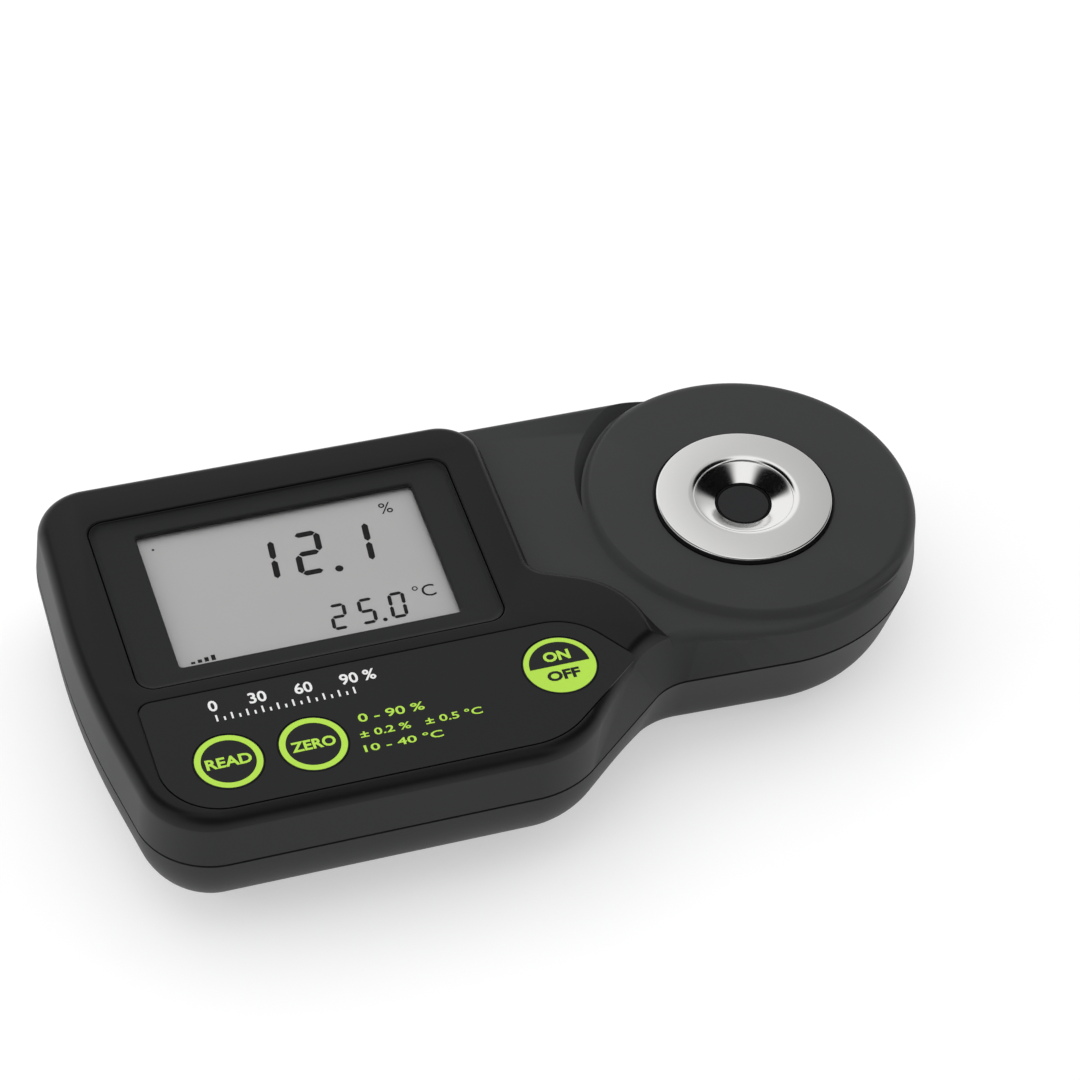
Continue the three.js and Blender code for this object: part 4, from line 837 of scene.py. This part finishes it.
def eased_hole(name, outline_at, low, high, edge=recess_edge):
    """A cutting tool whose last bit flares outwards, which rounds the rim of the hole it makes."""
    levels = [(low, outline_at(0))]
    for height, inset in rolled_edge(high, edge, edge):
        levels.append((height, outline_at(inset)))
    levels.append((high + overrun, outline_at(edge)))
    return loft(name, levels)


def recess_plan(grow):
    return box_plan("display_bezel", clearance + grow, recess_radius + grow)


def keypad_plan(grow):
    return sheet_outline(-clearance - grow)


hollow_inset = wall + edge_roll_width
hollow_top = bezel_low.z - ledge_thickness
under_neck = slab(
    "under_neck",
    housing_outline(wall, wall + neck_roll, wall + waist_scoop + neck_roll),
    upper_rim - overrun,
    under_neck_top,
)
under_plateau = slab(
    "under_plateau",
    housing_outline(hollow_inset, hollow_inset, hollow_inset + waist_scoop),
    under_neck_top - overrun,
    hollow_top,
)
plateau_hollow = slab("plateau_hollow", plateau_outline(hollow_inset, 1), below_roof, case_height)
combine(under_plateau, "INTERSECT", plateau_hollow)
case_holes = [
    under_neck,
    under_plateau,
    eased_hole("display_recess", recess_plan, bezel_low.z, case_height),
    eased_hole("sheet_recess", keypad_plan, sheet_low.z, case_height, sheet_recess_edge),
    slab(
        "display_pocket",
        box_plan("lcd_frame", clearance, clearance),
        hollow_top - overrun,
        bezel_low.z + clearance,
    ),
]
for name, radius, low in (
    ("gasket_recess", gasket_radius, gasket_low.z),
    ("barrel_hole", barrel_radius, below_roof),
):
    case_holes.append(pillar(name, well_x, well_y, radius + clearance, low, case_height, round_segments))
for key in keys:
    key_x, key_y, flange_radius = round_place(f"key_{key}")
    seat_low = sheet_low.z - key_seat_depth
    case_holes += [
        pillar("key_seat", key_x, key_y, flange_radius + clearance, seat_low, case_height),
        pillar("stem_hole", key_x, key_y, key_stem_radius + clearance, hollow_top - overrun, sheet_low.z),
    ]
combine(upper_case, "DIFFERENCE", *case_holes)


def distance_in_plan(tree, x, y):
    """How far each point lies from an upright axis at x, y."""
    place = add_node(tree, "ShaderNodeTexCoord", {}).outputs["Object"]
    plan = add_node(tree, "ShaderNodeVectorMath", {0: place, 1: (1, 1, 0)}, operation="MULTIPLY")
    reach = add_node(tree, "ShaderNodeVectorMath", {0: plan.outputs[0], 1: (x, y, 0)}, operation="DISTANCE")
    return reach.outputs["Value"]


def raised_area_and_front_shade():
    """Node group: 1 on the raised display and key area, a share on the front wall as painted shade, 0
    elsewhere.
    """
    group = bpy.data.node_groups.new("raised_area_and_front_shade", "ShaderNodeTree")
    group.interface.new_socket("Raised And Front Shade", in_out="OUTPUT", socket_type="NodeSocketFloat")
    place = add_node(group, "ShaderNodeTexCoord", {}).outputs["Object"]
    parts = add_node(group, "ShaderNodeSeparateXYZ", {0: place})
    above = add_node(group, "ShaderNodeMapRange", {
        "Value": parts.outputs["Z"],
        "From Min": neck_height,
        "From Max": neck_height + clearance,
    })
    # Towards the front, a share of the raised area's dark tone: painted shade on the front wall.
    painted_front_shade = add_node(group, "ShaderNodeMapRange", {
        "Value": parts.outputs["Y"],
        "From Min": front_shade_start,
        "From Max": front_shade_full,
        "To Max": front_shade_share,
    })
    raised_and_shade_share = calculated(group, "MAXIMUM", above.outputs[0], painted_front_shade.outputs[0])
    disc_distance = distance_in_plan(group, disc_x, disc_y)
    off_stage = calculated(group, "GREATER_THAN", disc_distance, disc_radius + overrun)
    add_node(group, "NodeGroupOutput", {"Raised And Front Shade": calculated(group, "MULTIPLY", raised_and_shade_share, off_stage)})
    return group


plastic_with_front_shade = moulded_finish(
    "housing_finishes_and_front_shade",
    (0.032, 0.033, 0.033),
    roughness=0.5,
    grain_size=0.0005,
    grain_depth=0.00002,
    specular=housing_specular,
)
tree = plastic_with_front_shade.node_tree
shader = tree.nodes["Principled BSDF"]
zone = add_node(tree, "ShaderNodeGroup", {}, node_tree=raised_area_and_front_shade()).outputs["Raised And Front Shade"]
# The mix darkens the raised area by its own finish, and the front wall with painted shade.
tone_with_front_shade = add_node(tree, "ShaderNodeMix", {}, data_type="RGBA")
set_inputs(tone_with_front_shade, {
    "Factor": zone,
    "A": shader.inputs["Base Color"].links[0].from_socket,
    "B": raised_color,
})
zone_gloss = add_node(tree, "ShaderNodeMix", {
    "Factor": zone,
    "A": shader.inputs["Roughness"].links[0].from_socket,
    "B": raised_roughness,
})
grain = shader.inputs["Normal"].links[0].from_node
set_inputs(grain, {"Strength": between(tree, zone, 1, raised_grain_share)})
set_inputs(shader, {"Base Color": tone_with_front_shade.outputs["Result"], "Roughness": zone_gloss.outputs["Result"]})
finish_piece(upper_case, "upper_shell", plastic_with_front_shade, "case", ["upper_case"])

# Display bezel: a matt dark plastic plate glued into the recess. Its edge curves up round the recess, and
# its opening over the display has a chamfered rim.
panel_low, panel_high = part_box("lcd_panel")
panel_border = 0.0021
view_corner = 0.0009
bezel_chamfer = 0.0006
bezel_lip = 0.00015
dish_width = 0.0016
dish_rise = 0.0009


def bezel_plan(inset):
    return box_plan("display_bezel", -inset, recess_radius - clearance - inset)


def view_plan(grow):
    return box_plan("lcd_panel", grow - panel_border, view_corner + grow)


dish_levels = []
for step in range(roll_steps + 1):
    angle = math.pi / 2 * step / roll_steps
    inset = bezel_lip + dish_width * (1 - math.sin(angle))
    dish_levels.append((bezel_high.z + dish_rise * (1 - math.cos(angle)), bezel_plan(inset)))
dish_levels.append((case_height + overrun, bezel_plan(bezel_lip)))
bezel = slab("bezel", bezel_plan(0), bezel_low.z, bezel_high.z + dish_rise)
view_hole = eased_hole("view_hole", view_plan, bezel_low.z - overrun, bezel_high.z, bezel_chamfer)
combine(bezel, "DIFFERENCE", loft("dish", dish_levels), view_hole)
bezel_plastic = moulded_finish(
    "bezel_matt",
    (0.011, 0.0115, 0.0115),
    roughness=0.5,
    grain_size=0.0004,
    grain_depth=0.00001,
    specular=0.25,
)
finish_piece(bezel, "display_frame", bezel_plastic, "case", ["display_bezel"])

# Display window: a clear plastic sheet under the bezel. It lets the light through, and its outer side
# mirrors a little.
window_tone = (0.02, 0.02, 0.02, 1)
window_clearness = (0.97, 0.97, 0.97, 1)
window_ior = 1.3
window_least_roughness = 0.08
window_most_roughness = 0.16
clear_window, tree, shader = node_material("clear_window")
see_through = add_node(tree, "ShaderNodeBsdfTransparent", {"Color": window_clearness})
window_fresnel = add_node(tree, "ShaderNodeFresnel", {"IOR": window_ior})
inner_side = add_node(tree, "ShaderNodeNewGeometry", {}).outputs["Backfacing"]
outer_side = calculated(tree, "SUBTRACT", 1, inner_side)
smudges = add_node(tree, "ShaderNodeGroup", {}, node_tree=moulded_group)
set_inputs(smudges, {"Patch Size": patch_size})
set_inputs(shader, {
    "Base Color": window_tone,
    "Roughness": between(tree, smudges.outputs["Patch"], window_least_roughness, window_most_roughness),
})
window_mix = add_node(tree, "ShaderNodeMixShader", {
    "Fac": calculated(tree, "MULTIPLY", window_fresnel.outputs[0], outer_side),
    1: see_through.outputs[0],
    2: shader.outputs[0],
})
set_inputs(tree.nodes["Material Output"], {"Surface": window_mix.outputs[0]})
coat(clear_window, "display_window")

# Liquid crystal panel: two grey glass plates, with the figures as thin dark segments on the upper one.
# It lies in a white plastic frame, on two rubber contact strips.
reading_lean = 0.1
segment_gap_share = 0.12
print_thickness = 0.00004
panel_drop = 0.0001
segment_low = panel_high.z - panel_drop
segment_high = segment_low + print_thickness
large_figure = {"y": 0.0143, "width": 0.0063, "height": 0.0127, "thickness": 0.0014}
small_figure = {"y": -0.0028, "width": 0.0037, "height": 0.0074, "thickness": 0.0008}
large_reading = (("1", -0.0528), ("2", -0.0425), ("1", -0.0316))
small_reading = (("2", -0.0397), ("5", -0.0334), ("0", -0.0266))
large_point = {"x": -0.0336, "y": 0.0145, "radius": 0.0009}
small_point = {"x": -0.0281, "y": -0.0025, "radius": 0.0005}
corner_point = {"x": -0.071, "y": 0.0303, "radius": 0.0003}
point_steps = 20
percent_sign = {"words": "%", "x": -0.0204, "y": 0.0278, "height": 0.0032}
celsius_sign = {"words": "°C", "x": -0.0202, "y": 0.0016, "height": 0.0036}
word_curve_steps = 3
level_bars = {"count": 4, "left": -0.0712, "pitch": 0.0015, "width": 0.0009}
level_bar_low = -0.0042
level_bar_height = 0.0006
level_bar_growth = 0.0003
segment_ends = {
    "a": ((0, 1), (1, 1)),
    "b": ((1, 1), (1, 0.5)),
    "c": ((1, 0.5), (1, 0)),
    "d": ((0, 0), (1, 0)),
    "e": ((0, 0.5), (0, 0)),
    "f": ((0, 1), (0, 0.5)),
    "g": ((0, 0.5), (1, 0.5)),
}
lit_segments = {"0": "abcdef", "1": "bc", "2": "abged", "5": "afgcd"}


def stroke(start, end, thickness):
    """A straight stroke with pointed ends, as a polygon."""
    along = (end - start).normalized()
    side = Vector((-along.y, along.x)) * thickness / 2
    tip = along * thickness / 2
    return [start, start + tip - side, end - tip - side, end, end - tip + side, start + tip + side]


def figure_strokes(figure, x, y, width, height, thickness):
    """The lit segments of a figure whose lower left corner is at x, y."""
    strokes = []
    for name in lit_segments[figure]:
        ends = []
        for across, up in segment_ends[name]:
            rise = thickness / 2 + up * (height - thickness)
            run = thickness / 2 + across * (width - thickness)
            ends.append(Vector((x + run + reading_lean * rise, y + rise)))
        gap = (ends[1] - ends[0]).normalized() * thickness * segment_gap_share
        strokes.append(stroke(ends[0] + gap, ends[1] - gap, thickness))
    return strokes


def arc_outline(x, y, radius, sweep=2 * math.pi, steps=point_steps):
    """A full disc, or the part of one that a sweep from +X cuts out, as a polygon."""
    corners = steps if sweep == 2 * math.pi else steps + 1
    angles = [sweep * i / steps for i in range(corners)]
    return [Vector((x + radius * math.cos(angle), y + radius * math.sin(angle))) for angle in angles]


def box_outline(left, low, right, high):
    return [Vector((left, low)), Vector((right, low)), Vector((right, high)), Vector((left, high))]


def printed_shapes(name, outlines, low, high):
    """Flat outlines as thin closed layers between two heights, in one object."""
    shape = bmesh.new()
    for outline in outlines:
        lower = [shape.verts.new((point.x, point.y, low)) for point in outline]
        upper = [shape.verts.new((point.x, point.y, high)) for point in outline]
        shape.faces.new(lower)
        shape.faces.new(upper)
        for i in range(len(outline)):
            shape.faces.new((lower[i - 1], lower[i], upper[i], upper[i - 1]))
    return solid_object(name, shape)


def printed_words(words, x, y, height, low, high, width=None, boldness=0.0):
    """Words as a thin layer: x, y is the lower left corner and height that of the capitals."""
    curve = bpy.data.curves.new("words", "FONT")
    curve.body = words
    curve.size = 1
    curve.extrude = curve.size / 2
    curve.offset = boldness
    curve.resolution_u = word_curve_steps
    text = bpy.data.objects.new("words", curve)
    mesh = bpy.data.meshes.new_from_object(text)
    bpy.data.objects.remove(text)
    across = [corner.co.x for corner in mesh.vertices]
    up = [corner.co.y for corner in mesh.vertices]
    rise = height / (max(up) - min(up))
    run = rise if width is None else width / (max(across) - min(across))
    scale = Matrix.Diagonal((run, rise, high - low, 1))
    place = Matrix.Translation((x, y, (low + high) / 2))
    mesh.transform(place @ scale @ Matrix.Translation((-min(across), -min(up), 0)))
    return put_in_scene("words", mesh)


def joined(parts):
    """Several objects' meshes in one object. The parts are used up."""
    shape = bmesh.new()
    for part in parts:
        shape.from_mesh(part.data)
        bpy.data.objects.remove(part)
    return shape_object("joined", shape)


panel_glass = slab("panel_glass", box_plan("lcd_panel", 0, clearance), panel_low.z, segment_low)
display_grey = moulded_finish(
    "display_grey",
    (0.46, 0.455, 0.455),
    roughness=0.35,
    grain_size=0.0003,
    grain_depth=0.000002,
    gloss_change=0.03,
    tone_change=0.03,
)
finish_piece(panel_glass, "panel_glass", display_grey, "case", ["lcd_panel"])
segments = []
for figure, left in large_reading:
    segments += figure_strokes(figure, left, **large_figure)
for figure, left in small_reading:
    segments += figure_strokes(figure, left, **small_figure)
for point in (large_point, small_point, corner_point):
    segments.append(arc_outline(**point))
for bar in range(level_bars["count"]):
    left = level_bars["left"] + level_bars["pitch"] * bar
    top = level_bar_low + level_bar_height + level_bar_growth * bar
    segments.append(box_outline(left, level_bar_low, left + level_bars["width"], top))
panel_figures = joined([
    printed_shapes("segments", segments, segment_low, segment_high),
    printed_words(**percent_sign, low=segment_low, high=segment_high),
    printed_words(**celsius_sign, low=segment_low, high=segment_high),
])
segment_black = moulded_finish(
    "segment_black",
    (0.003, 0.003, 0.003),
    roughness=0.4,
    grain_size=0.0004,
    grain_depth=0.000002,
    specular=0.25,
)
finish_piece(panel_figures, "panel_figures", segment_black, "case")
frame_white = moulded_finish(
    "frame_white", (0.7, 0.7, 0.69), roughness=0.5, grain_size=0.0005, grain_depth=0.00001
)
coat(frame_white, "lcd_frame", "ribbon_socket", "battery_socket")
coat(black_rubber, "contact_strip_front", "contact_strip_back")

# Keypad sheet: a thin dark printed film let into the raised area, with a white scale and three green lines
# of figures. The three keys come through it.
print_low = sheet_high.z
print_high = sheet_high.z + print_thickness
scale_left = -0.0705
scale_pitch = 0.0033
scale_low = -0.0239
scale_tops = (-0.0221, -0.0229)
scale_mark_width = 0.0004
scale_mark_count = 19
scale_number_low = -0.021
scale_number_height = 0.003
scale_number_boldness = 0.02
scale_numbers = (("0", 0, 0.001), ("30", 3, 0.0022), ("60", 6, 0.0022), ("90 %", 9, 0.0022))
green_line_boldness = 0.015
green_lines = (
    {"words": "0 - 90 %", "x": -0.0422, "y": -0.032, "height": 0.0023, "width": 0.0143},
    {"words": "± 0.2 %   ± 0.5 °C", "x": -0.043, "y": -0.0362, "height": 0.002, "width": 0.0265},
    {"words": "10 - 40 °C", "x": -0.0432, "y": -0.0402, "height": 0.002, "width": 0.017},
)
key_segments = 96
film_grain = {"roughness": 0.42, "grain_size": 0.0004, "grain_depth": 0.000003, "gloss_change": 0.04}
film_dark = moulded_finish(
    "film_dark", (0.0085, 0.009, 0.0088), **film_grain, tone_change=0.08, specular=0.25
)
film_green = moulded_finish("film_green", (0.43, 0.72, 0.055), **film_grain, tone_change=0.04)
film_white = moulded_finish("film_white", (0.78, 0.79, 0.78), **film_grain, tone_change=0.03)
sheet = slab("sheet", sheet_outline(0), sheet_low.z, sheet_high.z)
hole_low = sheet_low.z - overrun
hole_high = sheet_high.z + overrun
key_holes = []
for key in keys:
    key_x, key_y, flange_radius = round_place(f"key_{key}")
    hole_radius = flange_radius - key_flange_width + clearance / 2
    key_holes.append(pillar("hole", key_x, key_y, hole_radius, hole_low, hole_high, key_segments))
combine(sheet, "DIFFERENCE", *key_holes)
finish_piece(sheet, "keypad_sheet", film_dark, "case", ["keypad_overlay"])
scale_marks = []
for mark in range(scale_mark_count):
    left = scale_left + scale_pitch * mark / 2 - scale_mark_width / 2
    scale_marks.append(box_outline(left, scale_low, left + scale_mark_width, scale_tops[mark % 2]))
scale_parts = [printed_shapes("marks", scale_marks, print_low, print_high)]
for words, mark, set_left in scale_numbers:
    scale_parts.append(printed_words(
        words,
        scale_left + scale_pitch * mark - set_left,
        scale_number_low,
        scale_number_height,
        print_low,
        print_high,
        boldness=scale_number_boldness,
    ))
finish_piece(joined(scale_parts), "keypad_scale", film_white, "case")
line_parts = []
for line in green_lines:
    line_parts.append(printed_words(**line, low=print_low, high=print_high, boldness=green_line_boldness))
finish_piece(joined(line_parts), "keypad_lines", film_green, "case")

# Keys: three film-topped caps in the sheet, each on the plunger of its switch. A green ring and a word
# are printed on two of them, and the third is half green and half dark inside its ring.
key_edge = 0.00012
print_set_in = 0.00035
word_height = 0.0028
word_boldness = 0.03
half_word_boldness = 0.04
ring_width = 0.00135
half_ring_width = 0.0012
half_disc_steps = 48
ring_words = {
    "read": {"words": "READ", "width": 0.0098},
    "zero": {"words": "ZERO", "width": 0.0095},
}
on_word = {"words": "ON", "width": 0.0058, "rise": 0.0012}
off_word = {"words": "OFF", "width": 0.0072, "rise": -0.0042}


def key_cap(key):
    key_x, key_y, flange_radius = round_place(f"key_{key}")
    low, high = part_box(f"key_{key}")
    radius = flange_radius - key_flange_width
    return turned("cap", key_x, key_y, [
        (0, low.z),
        (key_stem_radius, low.z),
        (key_stem_radius, sheet_low.z - key_flange_height),
        (flange_radius, sheet_low.z - key_flange_height),
        (flange_radius, sheet_low.z),
        (radius, sheet_low.z),
        (radius, high.z - key_edge),
        (radius - key_edge, high.z),
        (0, high.z),
    ])


def ring_body(name, x, y, outer, inner, low, high):
    return turned(name, x, y, [(inner, low), (outer, low), (outer, high), (inner, high)])


def key_word(key, form, rise, low, high, boldness):
    """A word set in the middle of a key, with its foot at a height over the key's middle."""
    key_x, key_y, flange_radius = round_place(f"key_{key}")
    left = key_x - form["width"] / 2
    return printed_words(form["words"], left, key_y + rise, word_height, low, high, form["width"], boldness)


for key, form in ring_words.items():
    key_x, key_y, flange_radius = round_place(f"key_{key}")
    outer = flange_radius - key_flange_width - print_set_in
    inner = outer - ring_width
    body = f"{key}_key"
    finish_piece(key_cap(key), f"key_cap_{key}", film_dark, body, [f"key_{key}"])
    key_print = joined([
        ring_body("ring", key_x, key_y, outer, inner, print_low, print_high),
        key_word(key, form, -word_height / 2, print_low, print_high, word_boldness),
    ])
    finish_piece(key_print, f"key_print_{key}", film_green, body)

key_x, key_y, flange_radius = round_place("key_on_off")
disc_reach = flange_radius - key_flange_width - print_set_in
half_reach = disc_reach - half_ring_width
half_high = print_high + print_thickness
finish_piece(key_cap("on_off"), "key_cap_on_off", film_dark, "on_off_key", ["key_on_off"])
green_disc = pillar("disc", key_x, key_y, disc_reach, print_low, print_high, key_segments)
finish_piece(green_disc, "key_disc_on_off", film_green, "on_off_key")
half_disc = arc_outline(key_x, key_y, half_reach, math.pi, half_disc_steps)
dark_half = printed_shapes("half", [half_disc], print_high, half_high)
finish_piece(dark_half, "key_half_on_off", film_dark, "on_off_key")
word_on = key_word(
    "on_off", on_word, on_word["rise"], half_high, half_high + print_thickness, half_word_boldness
)
finish_piece(word_on, "key_word_on", film_green, "on_off_key")
word_off = key_word("on_off", off_word, off_word["rise"], print_high, half_high, half_word_boldness)
finish_piece(word_off, "key_word_off", film_dark, "on_off_key")
switch_resin = moulded_finish(
    "switch_resin", (0.012, 0.012, 0.013), roughness=0.45, grain_size=0.0003, grain_depth=0.00001
)
for key in keys:
    coat(switch_resin, f"switch_{key}", f"plunger_{key}")

# Circuit boards: green glass laminate with a slow change of tone, held by small steel screws. The chips on
# them and the block round the optics are black moulded resin.
laminate = moulded_finish(
    "laminate_green", (0.02, 0.11, 0.045), roughness=0.4, grain_size=0.002, grain_depth=0.00002
)
screw_steel = moulded_finish(
    "screw_steel",
    (0.55, 0.55, 0.54),
    roughness=0.3,
    grain_size=0.0003,
    grain_depth=0.000005,
    metallic=1,
)
chip_resin = moulded_finish(
    "chip_resin", (0.015, 0.015, 0.016), roughness=0.5, grain_size=0.0002, grain_depth=0.00001
)
coat(laminate, "main_board", "lamp_board", "sensor_board")
coat(screw_steel, "temperature_probe", *(f"board_screw_{i}" for i in range(1, 5)))
coat(chip_resin, "microcontroller", "image_sensor", "optical_block")

# Sample well: a turned and polished stainless steel flange with a bowl over the prism. Fine rings left
# by the lathe break its mirror finish. It is clamped on a black gasket in the stage.
flange_high = 0.0356
flange_edge = 0.0004
rim_radius = 0.0124
rim_high = 0.0359
lip_radius = 0.0108
lip_drop = 0.0007
bowl_steps = 16
bowl_hollow = 1.15
throat_radius = 0.0063
throat_top = 0.0331
throat_bottom = 0.0316
bore_radius = 0.01
well_segments = 192
steel_tone = (0.88, 0.875, 0.865, 1)
steel_least_roughness = 0.07
steel_most_roughness = 0.18
lathe_rings_per_metre = 9000
lathe_detail = 3
lathe_depth = 0.000002
lathe_strength = 0.5
polished_steel, tree, shader = node_material("polished_steel")
lathe_inputs = {
    "W": distance_in_plan(tree, well_x, well_y),
    "Scale": lathe_rings_per_metre,
    "Detail": lathe_detail,
}
lathe_noise = add_node(tree, "ShaderNodeTexNoise", {}, noise_dimensions="1D")
set_inputs(lathe_noise, lathe_inputs)
lathe_rings = lathe_noise.outputs["Fac"]
lathe_bump = {"Height": lathe_rings, "Strength": lathe_strength, "Distance": lathe_depth}
set_inputs(shader, {
    "Base Color": steel_tone,
    "Metallic": 1,
    "Roughness": between(tree, lathe_rings, steel_least_roughness, steel_most_roughness),
    "Normal": add_node(tree, "ShaderNodeBump", lathe_bump).outputs["Normal"],
})
barrel_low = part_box("sample_well")[0].z
lip_high = rim_high - lip_drop
well_profile = [
    (bore_radius, barrel_low),
    (barrel_radius, barrel_low),
    (barrel_radius, gasket_high.z),
    (flange_reach, gasket_high.z),
]
for height, inset in rolled_edge(flange_high, flange_edge, flange_edge):
    well_profile.append((flange_reach - inset, height))
for height, inset in reversed(rolled_edge(rim_high, lip_drop, rim_radius - lip_radius)):
    well_profile.append((lip_radius + inset, height))
for step in range(1, bowl_steps + 1):
    share = step / bowl_steps
    reach = lip_radius + (throat_radius - lip_radius) * share
    well_profile.append((reach, lip_high + (throat_top - lip_high) * share**bowl_hollow))
well_profile += [(throat_radius, throat_bottom), (bore_radius, throat_bottom)]
well = turned("well", well_x, well_y, well_profile, well_segments)
finish_piece(well, "steel_well", polished_steel, "case", ["sample_well"])

# Prism: dark optical glass whose round face fills the bottom of the bowl, inside a rubber seal. The lamp
# and the lens beside it are clear. The seal and the well's gasket are a blacker rubber than the rest.
optic_grain = {"grain_size": 0.001, "grain_depth": 0.0000005, "gloss_change": 0.04, "tone_change": 0.1}
prism_glass = moulded_finish(
    "prism_glass", (0.012, 0.0125, 0.0135), **optic_grain, roughness=0.12, specular=0.25
)
lens_glass = moulded_finish("lens_glass", (0.35, 0.4, 0.42), **optic_grain, roughness=0.08)
seal_black = moulded_finish(
    "seal_black",
    (0.004, 0.004, 0.004),
    roughness=0.7,
    grain_size=0.0004,
    grain_depth=0.00002,
    specular=0.12,
)
coat(seal_black, "well_gasket", "prism_seal")
coat(prism_glass, "prism")
coat(lens_glass, "lamp", "collimating_lens")

# Battery, its leads and ribbon: a painted can, insulated wires and a flat cable, all behind the cover,
# and the brass inserts in the upper case.
jacket = moulded_finish(
    "battery_jacket", (0.16, 0.17, 0.18), roughness=0.35, grain_size=0.001, grain_depth=0.000005
)
cable_grain = {"roughness": 0.45, "grain_size": 0.0005, "grain_depth": 0.000005}
red_insulation = moulded_finish("red_insulation", (0.42, 0.02, 0.02), **cable_grain)
ribbon_film = moulded_finish("ribbon_film", (0.62, 0.6, 0.55), **cable_grain)
insert_brass = moulded_finish(
    "insert_brass",
    (0.55, 0.36, 0.12),
    roughness=0.35,
    grain_size=0.0003,
    grain_depth=0.00001,
    metallic=1,
)
cover_foam = moulded_finish(
    "cover_foam", (0.07, 0.075, 0.08), roughness=0.95, grain_size=0.0008, grain_depth=0.0002
)
coat(jacket, "battery")
coat(red_insulation, "battery_lead_positive")
coat(black_rubber, "battery_lead_negative")
coat(ribbon_film, "sensor_ribbon")
coat(cover_foam, "battery_foam")
coat(insert_brass, *(f"threaded_insert_{i}" for i in range(1, 5)))

# Battery cover: a round moulded disc that twists to unlock, with two long finger recesses and a fine groove
# near its edge. Its neck reaches inside. The hidden lugs on the neck aren't modelled here.
cover_edge = 0.0004
cover_plate = 0.002
grip_length = 0.034
grip_width = 0.005
grip_gap = 0.01
grip_end_spare = clearance / 4
grip_depth = 0.001
groove_set_in = 0.002
groove_width = 0.0006
groove_depth = 0.0003
plate_high = case_bottom + cover_plate
neck_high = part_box("battery_cover")[1].z
cover = turned("cover", cover_x, cover_y, [
    (0, case_bottom),
    (cover_radius - cover_edge, case_bottom),
    (cover_radius, case_bottom + cover_edge),
    (cover_radius, plate_high),
    (cover_neck_radius, plate_high),
    (cover_neck_radius, neck_high),
    (cover_neck_radius - cover_neck_wall, neck_high),
    (cover_neck_radius - cover_neck_wall, plate_high),
    (0, plate_high),
])
cover_cuts = []
for side in (-1, 1):
    grip_y = cover_y + side * (grip_gap + grip_width) / 2
    grip_end = grip_width / 2 - grip_end_spare
    grip_plan = rounded_rectangle(cover_x, grip_y, grip_length, grip_width, grip_end)
    cover_cuts.append(slab("grip", grip_plan, below_case, case_bottom + grip_depth))
outer = cover_radius - groove_set_in
inner = outer - groove_width
groove_high = case_bottom + groove_depth
cover_cuts.append(ring_body("groove", cover_x, cover_y, outer, inner, below_case, groove_high))
combine(cover, "DIFFERENCE", *cover_cuts)
finish_piece(cover, "battery_disc", hull_plastic, "battery_lid", ["battery_cover"])

# Case screws: four steel screws that hold the halves of the housing together from below. Each sits deep in
# its well and has a cross recess in its round head.
head_edge = 0.0006
cross_length = 0.0034
cross_width = 0.0008
cross_depth = 0.0012
cross_rounding = 0.0002
screw_segments = 48
for i in range(1, 5):
    screw_x, screw_y, head_radius = round_place(f"case_screw_{i}")
    screw_low, screw_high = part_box(f"case_screw_{i}")
    head_high = screw_low.z + screw_head_height
    screw = turned("screw", screw_x, screw_y, [
        (0, screw_low.z),
        (head_radius - head_edge, screw_low.z),
        (head_radius, screw_low.z + head_edge),
        (head_radius, head_high),
        (screw_radius, head_high),
        (screw_radius, screw_high.z),
        (0, screw_high.z),
    ], screw_segments)
    cross = []
    for width, depth in ((cross_length, cross_width), (cross_width, cross_length)):
        plan = rounded_rectangle(screw_x, screw_y, width, depth, cross_rounding)
        cross.append(slab("cross", plan, screw_low.z - overrun, screw_low.z + cross_depth))
    combine(screw, "DIFFERENCE", *cross)
    finish_piece(screw, f"cross_screw_{i}", screw_steel, "case", [f"case_screw_{i}"])

# Feet: four round pads of black rubber with a rounded rim, on which the instrument stands. Each is stuck in
# a shallow recess in the base.
foot_edge = 0.0005
for i in range(1, 5):
    foot_x, foot_y, foot_radius = round_place(f"foot_{i}")
    foot_low, foot_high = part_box(f"foot_{i}")
    profile = [(0, foot_low.z)]
    for height, inset in reversed(rolled_edge(foot_edge, foot_edge, foot_edge)):
        profile.append((foot_radius - inset, foot_low.z + foot_edge - height))
    profile += [(foot_radius, foot_high.z), (0, foot_high.z)]
    foot = turned("foot", foot_x, foot_y, profile, small_round_segments)
    finish_piece(foot, f"rubber_foot_{i}", black_rubber, "case", [f"foot_{i}"])
